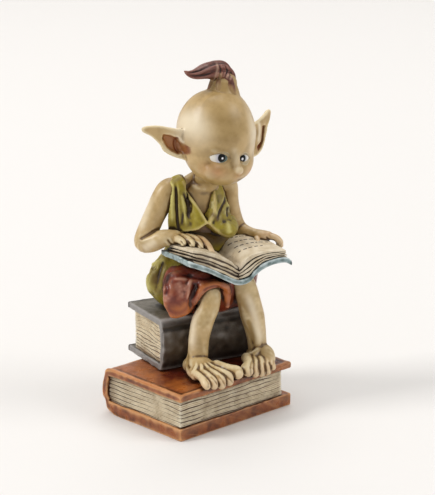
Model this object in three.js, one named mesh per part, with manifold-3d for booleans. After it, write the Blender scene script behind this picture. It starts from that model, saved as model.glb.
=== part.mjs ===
// A seated goblin child reading on two stacked books, cast as one piece.
// Millimetres, +Z up. The origin is the middle of the lower book's underside,
// X runs along that book, and its spine is on the +Y side.
import * as THREE from 'three';
import { mergeVertices } from 'three/addons/utils/BufferGeometryUtils.js';
import Module from 'manifold-3d';

// Lower book
const baseLength = 55;
const baseWidth = 41.6;
const baseThickness = 17;
const baseTopBoard = 2.7;
const baseBottomBoard = 4.6;
const baseSpineWall = 2.2;
const baseSpineBulge = 1.6;
const baseLowerRound = 5.0;
const baseUpperRound = 2.0;
const baseForeInset = 1.2;
const baseTailInset = 1.0;
const baseHeadInset = 4.0;

// Upper book, the seat
const seatLength = 42.3;
const seatWidth = 27.7;
const seatThickness = 19.2;
const seatBoard = 2.5;
const seatSpineWall = 2.0;
const seatSpineBulge = 1.6;
const seatRound = 0.8;
const seatForeInset = 4.0;
const seatTailInset = 3.0;
const seatHeadInset = 1.0;
const seatTurn = -14.4; // degrees
const seatShiftX = 8.7;
const seatShiftY = 11.3;

// Both books
const pageGrooves = 6;
const grooveDepth = 0.7;
const leafShare = 0.7; // of a groove's pitch that stays flat; the rest is the groove
const smallestFacet = 0.06; // detail under this is merged where two forms cross
const weld = 0.2; // how far one form sinks into the next, so that the cast is one body

// Open book on the lap
const openHalfWidth = 21;
const openLength = 22;
const openBoard = 1.5;
const openMargin = 1.2;
const openLift = 2.2; // the gutter's far end lies this much higher than its near end
const coverLeftLift = -0.8; // the same at the cover's left edge
const pageLeftLift = -3.6; // and at the left page's edge, where the hand presses the leaves down
const rightLift = 1.2;

// Figure: its pose and proportions are shares of its sitting height
const sittingHeight = 90;
const unit = sittingHeight / 90; // the tables of the figure are in ninetieths of that height
const headYaw = 8; // degrees, towards its left
const toeOverhang = 0.8;

const degree = Math.PI / 180;
const baseTop = baseThickness;
const seatTop = baseThickness + seatThickness;

const wasm = await Module();
wasm.setup();

// A closed geometry as a solid.
function solid(geometry) {
  const bare = geometry.clone();
  bare.deleteAttribute('normal');
  bare.deleteAttribute('uv');
  const merged = mergeVertices(bare, 1e-4);
  const shell = new wasm.Mesh({
    numProp: 3,
    vertProperties: Float32Array.from(merged.attributes.position.array),
    triVerts: Uint32Array.from(merged.index.array),
  });
  return new wasm.Manifold(shell);
}

// Joins a list of solids into one.
function fuse(solids) {
  return solids.reduce((whole, next) => whole.add(next));
}

// A geometry moved by a matrix, as a solid.
function placed(geometry, matrix) {
  return solid(geometry.clone().applyMatrix4(matrix));
}

// An outline in a plane, drawn out by a length along the third axis.
function drawn(shape, length, curveSegments = 6) {
  return new THREE.ExtrudeGeometry(shape, { depth: length, bevelEnabled: false, curveSegments });
}

// The drawn outline's axes: u and v are the outline's, w is the way it is drawn.
function axes(u, v, w, origin) {
  const matrix = new THREE.Matrix4().makeBasis(u, v, w);
  return matrix.setPosition(origin);
}

const alongX = new THREE.Vector3(1, 0, 0);
const alongY = new THREE.Vector3(0, 1, 0);
const alongZ = new THREE.Vector3(0, 0, 1);
const backX = new THREE.Vector3(-1, 0, 0);

// A closed book lying flat: C-shaped cover with a round spine at +Y, and a grooved block of pages.
// Its underside is at z = 0 and its middle is over the origin.
function closedBook(size) {
  const front = -size.width / 2;
  const back = size.width / 2;
  const top = size.thickness;
  const under = size.bottomBoard;
  const over = top - size.topBoard;
  const lowerRound = size.lowerRound;
  const upperRound = size.upperRound;

  const cover = new THREE.Shape();
  cover.moveTo(front, 0);
  cover.lineTo(back - lowerRound, 0);
  cover.quadraticCurveTo(back, 0, back, lowerRound);
  cover.quadraticCurveTo(back + 2 * size.spineBulge, top / 2, back, top - upperRound);
  cover.quadraticCurveTo(back, top, back - upperRound, top);
  cover.lineTo(front, top);
  cover.lineTo(front, over);
  cover.lineTo(back - size.spineWall, over);
  cover.lineTo(back - size.spineWall, under);
  cover.lineTo(front, under);
  cover.closePath();
  const coverPlace = axes(alongY, alongZ, alongX, new THREE.Vector3(-size.length / 2, 0, 0));
  const coverSolid = placed(drawn(cover, size.length), coverPlace);

  // Pages: one outline grooved at the fore edge, one grooved at both ends, and what they share.
  const low = under - weld;
  const high = over + weld;
  const fore = front + size.foreInset;
  const tail = -size.length / 2 + size.tailInset;
  const head = size.length / 2 - size.headInset;
  const pitch = (high - low) / pageGrooves;
  const leaf = pitch * leafShare;
  const valley = (pitch + leaf) / 2;

  const side = new THREE.Shape();
  side.moveTo(back - size.spineWall + weld, low);
  side.lineTo(back - size.spineWall + weld, high);
  const ends = new THREE.Shape();
  ends.moveTo(tail, high);
  ends.lineTo(head, high);
  for (let i = 0; i < pageGrooves; i += 1) {
    const crest = high - pitch * i;
    side.lineTo(fore, crest);
    side.lineTo(fore, crest - leaf);
    side.lineTo(fore + grooveDepth, crest - valley);
    ends.lineTo(head, crest - leaf);
    ends.lineTo(head - grooveDepth, crest - valley);
    ends.lineTo(head, crest - pitch);
  }
  side.lineTo(fore, low);
  side.closePath();
  for (let i = pageGrooves - 1; i >= 0; i -= 1) {
    const crest = high - pitch * i;
    ends.lineTo(tail, crest - pitch);
    ends.lineTo(tail + grooveDepth, crest - valley);
    ends.lineTo(tail, crest - leaf);
  }
  ends.closePath();
  const sidePlace = axes(alongY, alongZ, alongX, new THREE.Vector3(-size.length / 2, 0, 0));
  const endsPlace = axes(backX, alongZ, alongY, new THREE.Vector3(0, front, 0));
  const endsSolid = placed(drawn(flipped(ends), size.width), endsPlace);
  const pages = placed(drawn(side, size.length), sidePlace).intersect(endsSolid);
  return coverSolid.add(pages);
}

// The same outline with its first axis turned round.
function flipped(shape) {
  return new THREE.Shape(shape.getPoints().map((p) => new THREE.Vector2(-p.x, p.y)));
}

// A limb: a sphere's grid carried along a smooth path, closed by a round tip at both ends.
// A station is [x, y, z, half width across, half width through]; "facing" is the way through.
function limb(stations, { sides = 10, steps = 12, facing = null } = {}) {
  const points = stations.map((s) => new THREE.Vector3(s[0], s[1], s[2]));
  const path = new THREE.CatmullRomCurve3(points, false, 'centripetal');
  const girths = stations.map((s) => new THREE.Vector3(s[3], s[4] ?? s[3], 0));
  const girth = new THREE.CatmullRomCurve3(girths, false, 'catmullrom', 0.5);
  const middle = points[Math.floor(points.length / 2)];
  let through = facing;
  if (!through) {
    const first = middle.clone().sub(points[0]);
    const second = points[points.length - 1].clone().sub(middle);
    through = first.cross(second);
    if (through.length() < 1e-3) {
      through = Math.abs(second.z) > Math.abs(second.x) ? alongX : alongZ;
    }
  }
  const cap = 2 / steps;
  const shape = new THREE.SphereGeometry(1, sides, steps);
  const grid = shape.attributes.position;
  const corner = new THREE.Vector3();
  for (let i = 0; i < grid.count; i += 1) {
    corner.fromBufferAttribute(grid, i);
    const run = Math.acos(THREE.MathUtils.clamp(corner.y, -1, 1)) / Math.PI;
    const ring = Math.hypot(corner.x, corner.z);
    const t = THREE.MathUtils.clamp((run - cap) / (1 - 2 * cap), 0, 1);
    const capTurn = Math.min(1, Math.min(run, 1 - run) / cap) * Math.PI / 2;
    const endward = run < 0.5 ? -1 : 1;
    const tangent = path.getTangent(t);
    const across = new THREE.Vector3().crossVectors(tangent, through).normalize();
    const out = new THREE.Vector3().crossVectors(across, tangent).normalize();
    const wide = girth.getPoint(t);
    const place = path.getPoint(t);
    place.addScaledVector(tangent, endward * Math.cos(capTurn) * Math.min(wide.x, wide.y));
    if (ring > 1e-6) {
      place.addScaledVector(across, (corner.x / ring) * Math.sin(capTurn) * wide.x);
      place.addScaledVector(out, (-corner.z / ring) * Math.sin(capTurn) * wide.y);
    }
    grid.setXYZ(i, place.x, place.y, place.z);
  }
  shape.scale(unit, unit, unit);
  return solid(shape);
}

// An ellipsoid at a place, turned about Z.
function blob(x, y, z, halfX, halfY, halfZ, turn = 0, detail = 10) {
  const shape = new THREE.SphereGeometry(1, detail, Math.ceil(detail * 0.7));
  shape.rotateX(Math.PI / 2);
  shape.scale(halfX, halfY, halfZ);
  shape.rotateZ(turn * degree);
  shape.translate(x, y, z);
  shape.scale(unit, unit, unit);
  return solid(shape);
}

// Rings stacked upwards: a sphere's grid whose rows take their section from a table of stations
// [z, half width, half depth to the front, half depth to the back, middle x, middle y],
// with a ripple function that pushes each point outwards.
function stacked(stations, { sides = 32, steps = 20, turn = 0, ripple = () => 0 } = {}) {
  const tables = [1, 2, 3, 4, 5].map((column) => {
    const points = stations.map((s) => new THREE.Vector3(s[0], s[column], 0));
    return new THREE.CatmullRomCurve3(points, false, 'centripetal');
  });
  const shape = new THREE.SphereGeometry(1, sides, steps);
  const grid = shape.attributes.position;
  const corner = new THREE.Vector3();
  for (let i = 0; i < grid.count; i += 1) {
    corner.fromBufferAttribute(grid, i);
    const run = 1 - Math.acos(THREE.MathUtils.clamp(corner.y, -1, 1)) / Math.PI;
    const ring = Math.hypot(corner.x, corner.z);
    const [wide, fore, aft, midX, midY] = tables.map((table) => table.getPoint(run));
    const angle = Math.atan2(-corner.z, corner.x);
    const sideways = ring > 1e-6 ? Math.cos(angle) : 0;
    const backwards = ring > 1e-6 ? Math.sin(angle) : 0;
    const swell = ring > 1e-6 ? ripple(angle, wide.x) : 0;
    const offX = sideways * (wide.y + swell);
    const offY = backwards * ((backwards > 0 ? aft.y : fore.y) + swell);
    const cosTurn = Math.cos(turn * degree);
    const sinTurn = Math.sin(turn * degree);
    grid.setXYZ(
      i,
      midX.y + offX * cosTurn - offY * sinTurn,
      midY.y + offX * sinTurn + offY * cosTurn,
      wide.x,
    );
  }
  shape.scale(unit, unit, unit);
  return solid(shape);
}

// Every point of the figure is given from the seat book's top front edge:
// x to the figure's left, y to its back, z up from the seat.
const headMiddleX = 3.8;

function headForm() {
  const skull = stacked([
    [46.2, 0.3, 0.3, 0.3, 4.2, -1.4],
    [46.9, 4.4, 4.2, 4.0, 4.2, -1.4],
    [48.6, 7.8, 7.8, 7.4, 4.1, -1.2],
    [51.0, 10.6, 10.0, 9.8, 4.0, -0.8],
    [54.0, 12.4, 10.4, 11.6, 3.9, 0.3],
    [57.0, 13.2, 10.0, 12.9, 3.8, 1.6],
    [60.5, 13.8, 12.0, 14.2, 3.8, 3.0],
    [65.5, 14.2, 13.8, 14.8, 3.8, 4.3],
    [70.0, 13.4, 13.2, 14.0, 3.8, 4.6],
    [74.0, 11.7, 11.6, 12.2, 3.9, 4.6],
    [78.0, 8.4, 8.4, 8.6, 4.0, 4.5],
    [80.2, 4.2, 4.2, 4.2, 4.1, 4.4],
    [80.8, 0.3, 0.3, 0.3, 4.1, 4.4],
  ], { sides: 24, steps: 16, turn: headYaw });
  return fuse([
    skull,
    facePoint(0, 11.4, 54.2, 1.8, 2.0, 1.6),
    facePoint(0, 10.0, 56.0, 1.2, 1.4, 2.4),
    facePoint(0, 10.6, 51.4, 2.5, 1.6, 0.9),
    facePoint(0, 10.2, 50.1, 2.2, 1.5, 0.8),
    facePoint(0, 8.0, 48.6, 2.8, 2.2, 1.6),
    facePoint(-6.6, 6.6, 52.4, 3.8, 3.2, 3.4),
    facePoint(6.4, 6.2, 52.6, 3.6, 3.0, 3.2),
    facePoint(-5.4, 7.2, 57.0, 3.3, 2.8, 2.4),
    facePoint(5.4, 7.2, 57.0, 3.3, 2.8, 2.4),
  ]);
}

// A small swelling of the face: aside and forward of the head's axis, in the head's own turn.
function facePoint(aside, forward, height, halfX, halfY, halfZ) {
  const cosTurn = Math.cos(headYaw * degree);
  const sinTurn = Math.sin(headYaw * degree);
  const axisY = 1.2;
  const x = headMiddleX + aside * cosTurn + forward * sinTurn;
  const y = axisY + aside * sinTurn - forward * cosTurn;
  return blob(x, y, height, halfX, halfY, halfZ, headYaw, 8);
}

// An ear, out and back and up from the side of the head; side is -1 for its right and 1 for its left.
function earForm(side) {
  const cosTurn = Math.cos(headYaw * degree);
  const sinTurn = Math.sin(headYaw * degree);
  const spot = (aside, back, height) => [
    headMiddleX + side * aside * cosTurn - back * sinTurn,
    1.6 + side * aside * sinTurn + back * cosTurn,
    height,
  ];
  const outward = new THREE.Vector3(side * 0.35, -0.9, 0.1);
  const leaf = limb([
    [...spot(10.5, 2.6, 60.0), 3.0, 1.5],
    [...spot(14.6, 3.2, 61.2), 4.3, 1.8],
    [...spot(19.2, 4.8, 63.6), 3.5, 1.4],
    [...spot(23.6, 6.8, 66.0), 1.8, 1.0],
    [...spot(26.8, 7.8, 67.8), 0.8, 0.7],
  ], { sides: 10, steps: 11, facing: outward });
  const bowl = limb([
    [...spot(12.2, 0.8, 59.4), 1.6, 1.1],
    [...spot(14.8, 1.5, 60.6), 2.7, 1.5],
    [...spot(18.4, 3.2, 62.8), 2.1, 1.2],
    [...spot(21.8, 5.2, 64.8), 0.8, 0.7],
  ], { sides: 8, steps: 8, facing: outward });
  return leaf.subtract(bowl);
}

function hairForm() {
  const strands = [
    [[5.8, 4.6, 77.8, 6.2, 6.0], [6.2, 5.0, 81.4, 4.5, 4.3], [6.6, 5.4, 84.8, 3.9, 3.7],
      [5.0, 5.6, 87.6, 3.1, 3.3], [1.0, 5.8, 87.8, 2.5, 2.9], [-4.0, 5.8, 86.6, 1.9, 2.3],
      [-7.4, 5.8, 87.2, 0.6, 0.7]],
    [[8.6, 3.0, 79.2, 2.5], [9.6, 4.4, 83.2, 2.0], [8.4, 6.6, 86.6, 1.8], [4.5, 7.2, 88.2, 1.3]],
    [[3.8, 3.4, 79.4, 2.4], [5.0, 2.2, 83.2, 1.7], [7.6, 2.6, 86.4, 1.5], [6.6, 4.8, 88.6, 1.0]],
  ];
  return fuse(strands.map((strand, i) => limb(strand, { sides: i ? 7 : 10, steps: i ? 9 : 14 })));
}

function armForm(side) {
  const right = side < 0;
  const arm = right
    ? [[-8.0, 13.6, 44.4, 4.0], [-10.8, 13.8, 43.6, 4.3], [-15.2, 14.2, 36.6, 4.0],
      [-18.9, 14.8, 29.0, 3.8], [-20.4, 14.2, 25.6, 3.7], [-18.8, 11.2, 26.0, 3.5],
      [-15.4, 7.8, 28.0, 3.1], [-12.0, 6.4, 28.0, 2.8]]
    : [[10.5, 13.6, 44.4, 4.0], [12.8, 13.8, 43.2, 4.2], [14.4, 14.4, 36.0, 3.9],
      [17.0, 15.0, 28.6, 3.6], [18.8, 14.6, 25.6, 3.4], [19.6, 11.6, 24.8, 3.0],
      [20.4, 8.6, 24.6, 2.7], [21.2, 6.6, 24.6, 2.5]];
  return limb(arm, { sides: 10, steps: 20, facing: new THREE.Vector3(0.3 * side, -1, 0.6) });
}

function rightHandForm() {
  return fuse([
    limb([[-12.4, 6.6, 27.8, 2.8, 2.6], [-9.0, 5.6, 26.8, 3.8, 2.2], [-5.2, 5.4, 25.0, 3.6, 1.9]],
      { sides: 10, steps: 9, facing: alongZ }),
    limb([[-5.2, 7.4, 25.0, 1.3], [-1.8, 7.8, 23.6, 1.25], [1.4, 7.8, 21.8, 1.15], [3.4, 7.4, 20.6, 0.9]],
      { sides: 7, steps: 9 }),
    limb([[-5.0, 5.2, 25.0, 1.3], [-2.0, 4.8, 24.0, 1.25], [-0.2, 4.4, 22.0, 1.1], [-0.6, 4.2, 20.8, 0.9]],
      { sides: 7, steps: 9 }),
    limb([[-6.0, 3.2, 24.8, 1.3], [-3.4, 2.6, 24.0, 1.2], [-2.0, 2.2, 22.0, 1.1], [-2.4, 2.0, 20.9, 0.9]],
      { sides: 7, steps: 9 }),
    limb([[-7.4, 1.6, 25.0, 1.2], [-5.4, 0.8, 24.2, 1.1], [-4.2, 0.4, 22.4, 1.0], [-4.6, 0.4, 21.6, 0.8]],
      { sides: 7, steps: 9 }),
  ]);
}

function leftHandForm() {
  return fuse([
    limb([[21.4, 7.2, 24.6, 2.5, 2.3], [22.6, 4.6, 24.8, 3.1, 2.1], [24.4, 2.8, 24.8, 2.9, 1.8]],
      { sides: 10, steps: 9, facing: alongZ }),
    limb([[21.0, 4.6, 24.6, 1.2], [19.6, 2.4, 24.2, 1.1], [19.0, 0.8, 23.6, 1.0]], { sides: 7, steps: 8 }),
    limb([[23.8, 2.2, 25.0, 1.3], [25.4, -0.2, 24.8, 1.2], [27.0, -1.8, 23.2, 1.05], [27.2, -2.2, 22.0, 0.9]],
      { sides: 7, steps: 9 }),
    limb([[25.0, 3.2, 24.8, 1.3], [27.2, 1.2, 24.2, 1.2], [28.4, 0.2, 22.6, 1.05], [28.2, 0.0, 21.4, 0.9]],
      { sides: 7, steps: 9 }),
    limb([[25.4, 4.8, 24.4, 1.3], [28.0, 3.4, 23.6, 1.2], [28.9, 2.6, 22.0, 1.05], [28.6, 2.4, 21.0, 0.9]],
      { sides: 7, steps: 9 }),
  ]);
}

// A leg from the hip over the seat's edge to the ankle. Its foot stands on the lower book.
const soleDrop = seatThickness / unit;
const stretch = soleDrop / 19.2; // the table's own drop is 19.2

function legForm(side) {
  const right = side < 0;
  const leg = right
    ? [[-4.6, 12.0, 7.0, 6.4, 6.0], [-4.4, 3.0, 9.6, 5.6, 5.4], [-3.6, -4.0, 11.2, 4.3, 4.3],
      [-5.2, -5.8, 5.4, 4.0, 4.1], [-8.0, -6.2, 0.6, 4.4, 4.3], [-9.8, -6.4, -6.4, 3.9, 4.0],
      [-10.4, -6.6, -12.6, 3.7, 3.9], [-10.8, -6.8, -15.8, 4.3, 4.4]]
    : [[8.0, 12.0, 7.0, 6.4, 6.0], [9.2, 3.0, 9.6, 5.6, 5.4], [9.8, -4.0, 11.2, 4.3, 4.3],
      [11.2, -5.8, 5.4, 4.4, 4.3], [12.8, -6.2, -1.0, 4.5, 4.3], [14.4, -6.4, -7.4, 4.0, 4.0],
      [15.2, -6.6, -12.6, 3.7, 3.8], [15.6, -6.8, -15.8, 4.1, 4.2]];
  const shin = leg.map((s) => (s[2] < 0 ? [s[0], s[1], s[2] * stretch, s[3], s[4]] : s));
  return limb(shin, { sides: 11, steps: 20, facing: alongX });
}

// Where the lower book's front edge runs, in the figure's own frame.
const cosSeat = Math.cos(seatTurn * degree);
const sinSeat = Math.sin(seatTurn * degree);

function frontEdge(x) {
  const reach = -baseWidth / 2 - seatShiftY - sinSeat * x * unit;
  return (reach / cosSeat + seatWidth / 2) / unit;
}

// Toes: [base x, base y, tip x, drop over the edge, half width]; a foot's toes curl over the book's edge.
const rightToes = [
  [-5.6, -14.6, -1.0, 0.0, 2.3],
  [-8.2, -17.0, -4.8, 1.4, 1.75],
  [-10.6, -17.4, -8.4, 1.8, 1.7],
  [-13.0, -17.2, -12.0, 1.0, 1.65],
  [-15.0, -16.0, -15.4, 0.2, 1.5],
];
const leftToes = [
  [8.0, -12.2, 3.4, 0.2, 2.2],
  [10.2, -13.0, 7.2, 1.4, 1.7],
  [12.6, -12.8, 10.6, 2.0, 1.7],
  [15.0, -12.2, 13.7, 2.0, 1.6],
  [17.0, -11.0, 16.4, 0.8, 1.5],
];

function footForm(side) {
  const right = side < 0;
  const ground = -soleDrop;
  const ankle = right ? [-10.8, -6.8] : [15.6, -6.8];
  const ball = right ? [-10.6, -16.4] : [12.6, -12.4];
  const toes = right ? rightToes : leftToes;
  const parts = [
    limb([
      [ankle[0] - 0.4, ankle[1] + 2.4, ground + 2.5, 3.4, 3.0],
      [ankle[0], ankle[1] - 1.6, ground + 3.4, 4.4, 3.8],
      [(ankle[0] + ball[0]) / 2, (ankle[1] + ball[1]) / 2 - 0.8, ground + 2.7, 5.6, 3.1],
      [ball[0], ball[1] + 1.2, ground + 1.8, 6.4, 2.1],
    ], { sides: 12, steps: 12, facing: alongZ }),
  ];
  for (const [baseX, baseY, tipX, drop, half] of toes) {
    const edge = frontEdge(tipX) - toeOverhang / unit;
    const lift = half + 0.2;
    parts.push(limb([
      [baseX, baseY + 1.6, ground + lift + 1.2, half * 0.9],
      [(baseX + tipX) / 2, (baseY + edge) / 2, ground + lift + 0.8, half * 0.86],
      [tipX, edge + 1.0, ground + lift - drop * 0.35, half],
      [tipX, edge, ground + lift - 0.4 - drop, half * 0.84],
    ], { sides: 8, steps: 10 }));
  }
  return fuse(parts);
}

// The chest and neck, which show in the tunic's neckline.
function chestForm() {
  return fuse([
    stacked([
      [14.0, 0.3, 0.3, 0.3, 2.0, 14.0],
      [15.0, 10.0, 7.0, 8.0, 2.0, 14.0],
      [26.0, 10.6, 8.0, 7.6, 2.0, 13.6],
      [36.0, 11.0, 7.6, 7.0, 2.0, 13.4],
      [42.0, 9.6, 6.4, 5.8, 2.0, 13.0],
      [46.0, 4.6, 4.6, 4.4, 2.2, 11.6],
      [46.6, 0.3, 0.3, 0.3, 2.2, 11.6],
    ], { sides: 16, steps: 12 }),
    limb([[2.2, 12.0, 42.0, 5.2, 4.8], [2.6, 9.6, 47.0, 4.6, 4.4], [3.2, 6.0, 52.0, 5.0, 4.8]],
      { sides: 12, steps: 9, facing: alongY }),
  ]);
}

// The tunic: a loose sleeveless bib with long folds, cut open in a V at the front.
function tunicForm() {
  const folds = (angle, height) => {
    const rising = THREE.MathUtils.smoothstep(height, 8, 30);
    const ending = 1 - THREE.MathUtils.smoothstep(height, 40, 47);
    return 0.55 * rising * ending * Math.cos(9 * angle + 0.6);
  };
  const bib = stacked([
    [27.2, 0.3, 0.3, 0.3, 2.0, 11.0],
    [28.0, 8.6, 9.0, 7.0, 2.0, 10.6],
    [30.0, 12.0, 12.6, 9.0, 2.2, 12.0],
    [34.0, 11.8, 12.6, 8.6, 2.1, 12.8],
    [40.0, 11.0, 9.6, 7.8, 2.0, 13.0],
    [44.0, 10.0, 6.6, 6.4, 2.0, 13.2],
    [48.4, 8.0, 3.8, 4.4, 2.0, 13.2],
    [49.4, 0.3, 0.3, 0.3, 2.0, 13.2],
  ], { sides: 30, steps: 12, ripple: folds });
  const opening = new THREE.Shape();
  opening.moveTo(-8.4, 54);
  opening.lineTo(-5.8, 46.6);
  opening.lineTo(0.8, 32.6);
  opening.lineTo(6.2, 44.6);
  opening.lineTo(8.8, 54);
  opening.closePath();
  const hem = new THREE.Shape();
  hem.moveTo(-8.6, 24);
  hem.lineTo(-7.6, 29.2);
  hem.lineTo(0.8, 32.4);
  hem.lineTo(5.2, 29.0);
  hem.lineTo(7.0, 24);
  hem.closePath();
  const cuts = [opening, hem].map((outline) => {
    const cut = drawn(outline, 20);
    cut.applyMatrix4(axes(alongX, alongZ, new THREE.Vector3(0, -1, 0), new THREE.Vector3(0, 13, 0)));
    cut.scale(unit, unit, unit);
    return solid(cut);
  });
  const creases = (angle, height) => (height < 22 ? 0.6 * Math.cos(11 * angle + height * 0.25) : 0);
  const lower = stacked([
    [-0.6, 0.3, 0.3, 0.3, 1.0, 15.0],
    [0.2, 13.0, 10.0, 9.0, 1.0, 14.6],
    [4.0, 17.4, 12.0, 11.0, 1.0, 14.4],
    [9.0, 19.6, 12.0, 11.6, 1.2, 14.2],
    [14.0, 18.4, 11.0, 11.0, 1.4, 14.2],
    [19.0, 15.0, 10.0, 9.8, 2.0, 14.0],
    [25.0, 12.4, 9.4, 8.6, 2.4, 13.8],
    [31.0, 9.0, 6.4, 7.0, 2.0, 13.6],
    [32.0, 0.3, 0.3, 0.3, 2.0, 13.6],
  ], { sides: 28, steps: 13, ripple: creases });
  const bulge = limb([
    [4.4, 0.4, 30.6, 2.0],
    [7.4, 1.0, 29.4, 2.6],
    [11.0, 4.0, 29.6, 2.8],
    [13.0, 8.6, 31.0, 2.4],
  ], { sides: 9, steps: 9 });
  return fuse([bib.subtract(fuse(cuts)), bulge, lower]);
}

// The skirt: leather over the thighs, a big lobe at the figure's right and a narrow tail in the middle.
function skirtForm() {
  return fuse([
    stacked([
      [-0.4, 0.3, 0.3, 0.3, 2.0, 6.0],
      [0.2, 15.0, 6.0, 8.0, 2.0, 6.0],
      [5.0, 19.6, 9.6, 8.0, 2.0, 6.0],
      [11.0, 20.4, 11.2, 8.0, 2.4, 6.0],
      [15.4, 18.4, 10.6, 8.0, 2.6, 6.0],
      [17.6, 12.0, 7.0, 7.0, 2.6, 6.0],
      [18.2, 0.3, 0.3, 0.3, 2.6, 6.0],
    ], { sides: 24, steps: 11, ripple: (angle) => 0.5 * Math.cos(9 * angle) }),
    limb([[-12.6, 1.4, 14.0, 5.4, 3.0], [-14.4, -2.0, 10.6, 6.2, 2.4], [-15.6, -2.8, 6.6, 5.4, 1.9],
      [-15.2, -3.2, 2.6, 4.0, 1.4]], { sides: 12, steps: 11, facing: new THREE.Vector3(-0.3, -1, 0.2) }),
    limb([[-9.6, -4.2, 6.4, 1.5], [-7.6, -7.6, 10.2, 1.4], [-2.6, -8.8, 12.2, 1.4], [1.6, -6.6, 10.6, 1.3]],
      { sides: 8, steps: 11 }),
    limb([[2.0, -5.4, 11.6, 2.2, 1.5], [3.2, -5.4, 8.0, 1.6, 1.2], [3.8, -5.0, 3.6, 1.1, 0.9]],
      { sides: 8, steps: 9, facing: alongY }),
  ]);
}

// The open book: its cover's underside and its pages' upper side across the width, as
// [way out from the gutter, height], and as drawn where the near end rests.
const openMiddleX = 4.2;
const openNear = -12.4;
const openBottom = 13.0;
const spread = openHalfWidth / unit / 21; // the lines are for a half width of 21
const runLength = openLength / unit;
const boardHeight = openBoard / unit;
const margin = openMargin / unit;
const sunk = weld / unit;
const coverLine = [
  [-20.4, 9.6], [-11.6, 5.8], [-5.5, 2.4], [0, 0], [4.0, 0.5], [6.6, 2.9], [10.9, 5.1], [15.8, 5.9],
  [19.0, 5.8], [21.8, 4.3],
];
const pageLine = [
  [-19.0, 15.0], [-15.0, 14.1], [-8.6, 11.8], [-2.4, 8.2], [0, 6.0], [3.9, 9.3], [8.9, 10.4], [14.3, 10.4],
  [20.2, 9.8],
];

// A line's points, spread for the open book's own half width and joined by a smooth curve.
function acrossBook(line, count) {
  const points = line.map(([out, height]) => (
    new THREE.Vector2(openMiddleX + out * spread, openBottom + height)
  ));
  return new THREE.SplineCurve(points).getPoints(count);
}

function openBookForm() {
  const under = acrossBook(coverLine, 20);
  const above = acrossBook(pageLine, 20);
  const raised = under.map((p) => new THREE.Vector2(p.x, p.y + boardHeight));
  const bed = under.filter((p) => p.x > above[0].x && p.x < above[above.length - 1].x);
  const bedHeight = boardHeight - sunk;
  const first = above[0].clone().setY(bed[0].y + bedHeight);
  const last = above[above.length - 1].clone().setY(bed[bed.length - 1].y + bedHeight);
  const seat = bed.map((p) => new THREE.Vector2(p.x, p.y + bedHeight));
  const cover = new THREE.Shape([...under, ...raised.reverse()]);
  const pages = new THREE.Shape([first, ...seat, last, ...above.reverse()]);
  const coverGeometry = drawn(cover, runLength);
  coverGeometry.applyMatrix4(axes(alongX, alongZ, alongY, new THREE.Vector3(0, openNear, 0)));
  const pageGeometry = drawn(pages, runLength - 2 * margin);
  pageGeometry.applyMatrix4(axes(alongX, alongZ, alongY, new THREE.Vector3(0, openNear + margin, 0)));
  lift(coverGeometry, coverLeftLift);
  lift(pageGeometry, pageLeftLift);
  return fuse([coverGeometry, pageGeometry].map((geometry) => solid(turnedRound(geometry))));
}

// Raises the far end of the open book: by openLift at the gutter, by other amounts at its edges.
function lift(geometry, leftLift) {
  const grid = geometry.attributes.position;
  for (let i = 0; i < grid.count; i += 1) {
    const along = (grid.getY(i) - openNear) / runLength;
    const out = (grid.getX(i) - openMiddleX) * unit / openHalfWidth;
    const edge = out < 0 ? leftLift : rightLift;
    const rise = openLift + (edge - openLift) * Math.abs(out) ** 1.5;
    grid.setZ(i, grid.getZ(i) + rise / unit * along);
  }
  geometry.scale(unit, unit, unit);
}

// A drawn outline on left-handed axes has its triangles turned round.
function turnedRound(geometry) {
  const grid = geometry.attributes.position;
  const a = new THREE.Vector3();
  const b = new THREE.Vector3();
  for (let i = 0; i < grid.count; i += 3) {
    a.fromBufferAttribute(grid, i + 1);
    b.fromBufferAttribute(grid, i + 2);
    grid.setXYZ(i + 1, b.x, b.y, b.z);
    grid.setXYZ(i + 2, a.x, a.y, a.z);
  }
  return geometry;
}

const lowerBook = closedBook({
  length: baseLength,
  width: baseWidth,
  thickness: baseThickness,
  topBoard: baseTopBoard,
  bottomBoard: baseBottomBoard,
  spineWall: baseSpineWall,
  spineBulge: baseSpineBulge,
  lowerRound: baseLowerRound,
  upperRound: baseUpperRound,
  foreInset: baseForeInset,
  tailInset: baseTailInset,
  headInset: baseHeadInset,
});

const upperBook = closedBook({
  length: seatLength,
  width: seatWidth,
  thickness: seatThickness,
  topBoard: seatBoard,
  bottomBoard: seatBoard,
  spineWall: seatSpineWall,
  spineBulge: seatSpineBulge,
  lowerRound: seatRound,
  upperRound: seatRound,
  foreInset: seatForeInset,
  tailInset: seatTailInset,
  headInset: seatHeadInset,
}).rotate([0, 0, 180]).translate([0, 0, baseTop - weld]);

const figure = fuse([
  headForm(),
  earForm(-1),
  earForm(1),
  hairForm(),
  armForm(-1),
  armForm(1),
  rightHandForm(),
  leftHandForm(),
  legForm(-1),
  legForm(1),
  footForm(-1),
  footForm(1),
  chestForm(),
  tunicForm(),
  skirtForm(),
  openBookForm(),
]).translate([0, -seatWidth / 2, seatTop - weld]);

const turned = upperBook.add(figure).rotate([0, 0, seatTurn]).translate([seatShiftX, seatShiftY, 0]);

// The outermost of the shells that bound a solid.
function outerShell(whole) {
  return whole.decompose().reduce((largest, next) => (next.volume() > largest.volume() ? next : largest));
}

// A cast has no hollows, and merging small facets can pinch off a speck: the outer shell is kept both times.
const joined = outerShell(lowerBook.add(turned));
const cast = outerShell(joined.asOriginal().simplify(smallestFacet));

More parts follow.
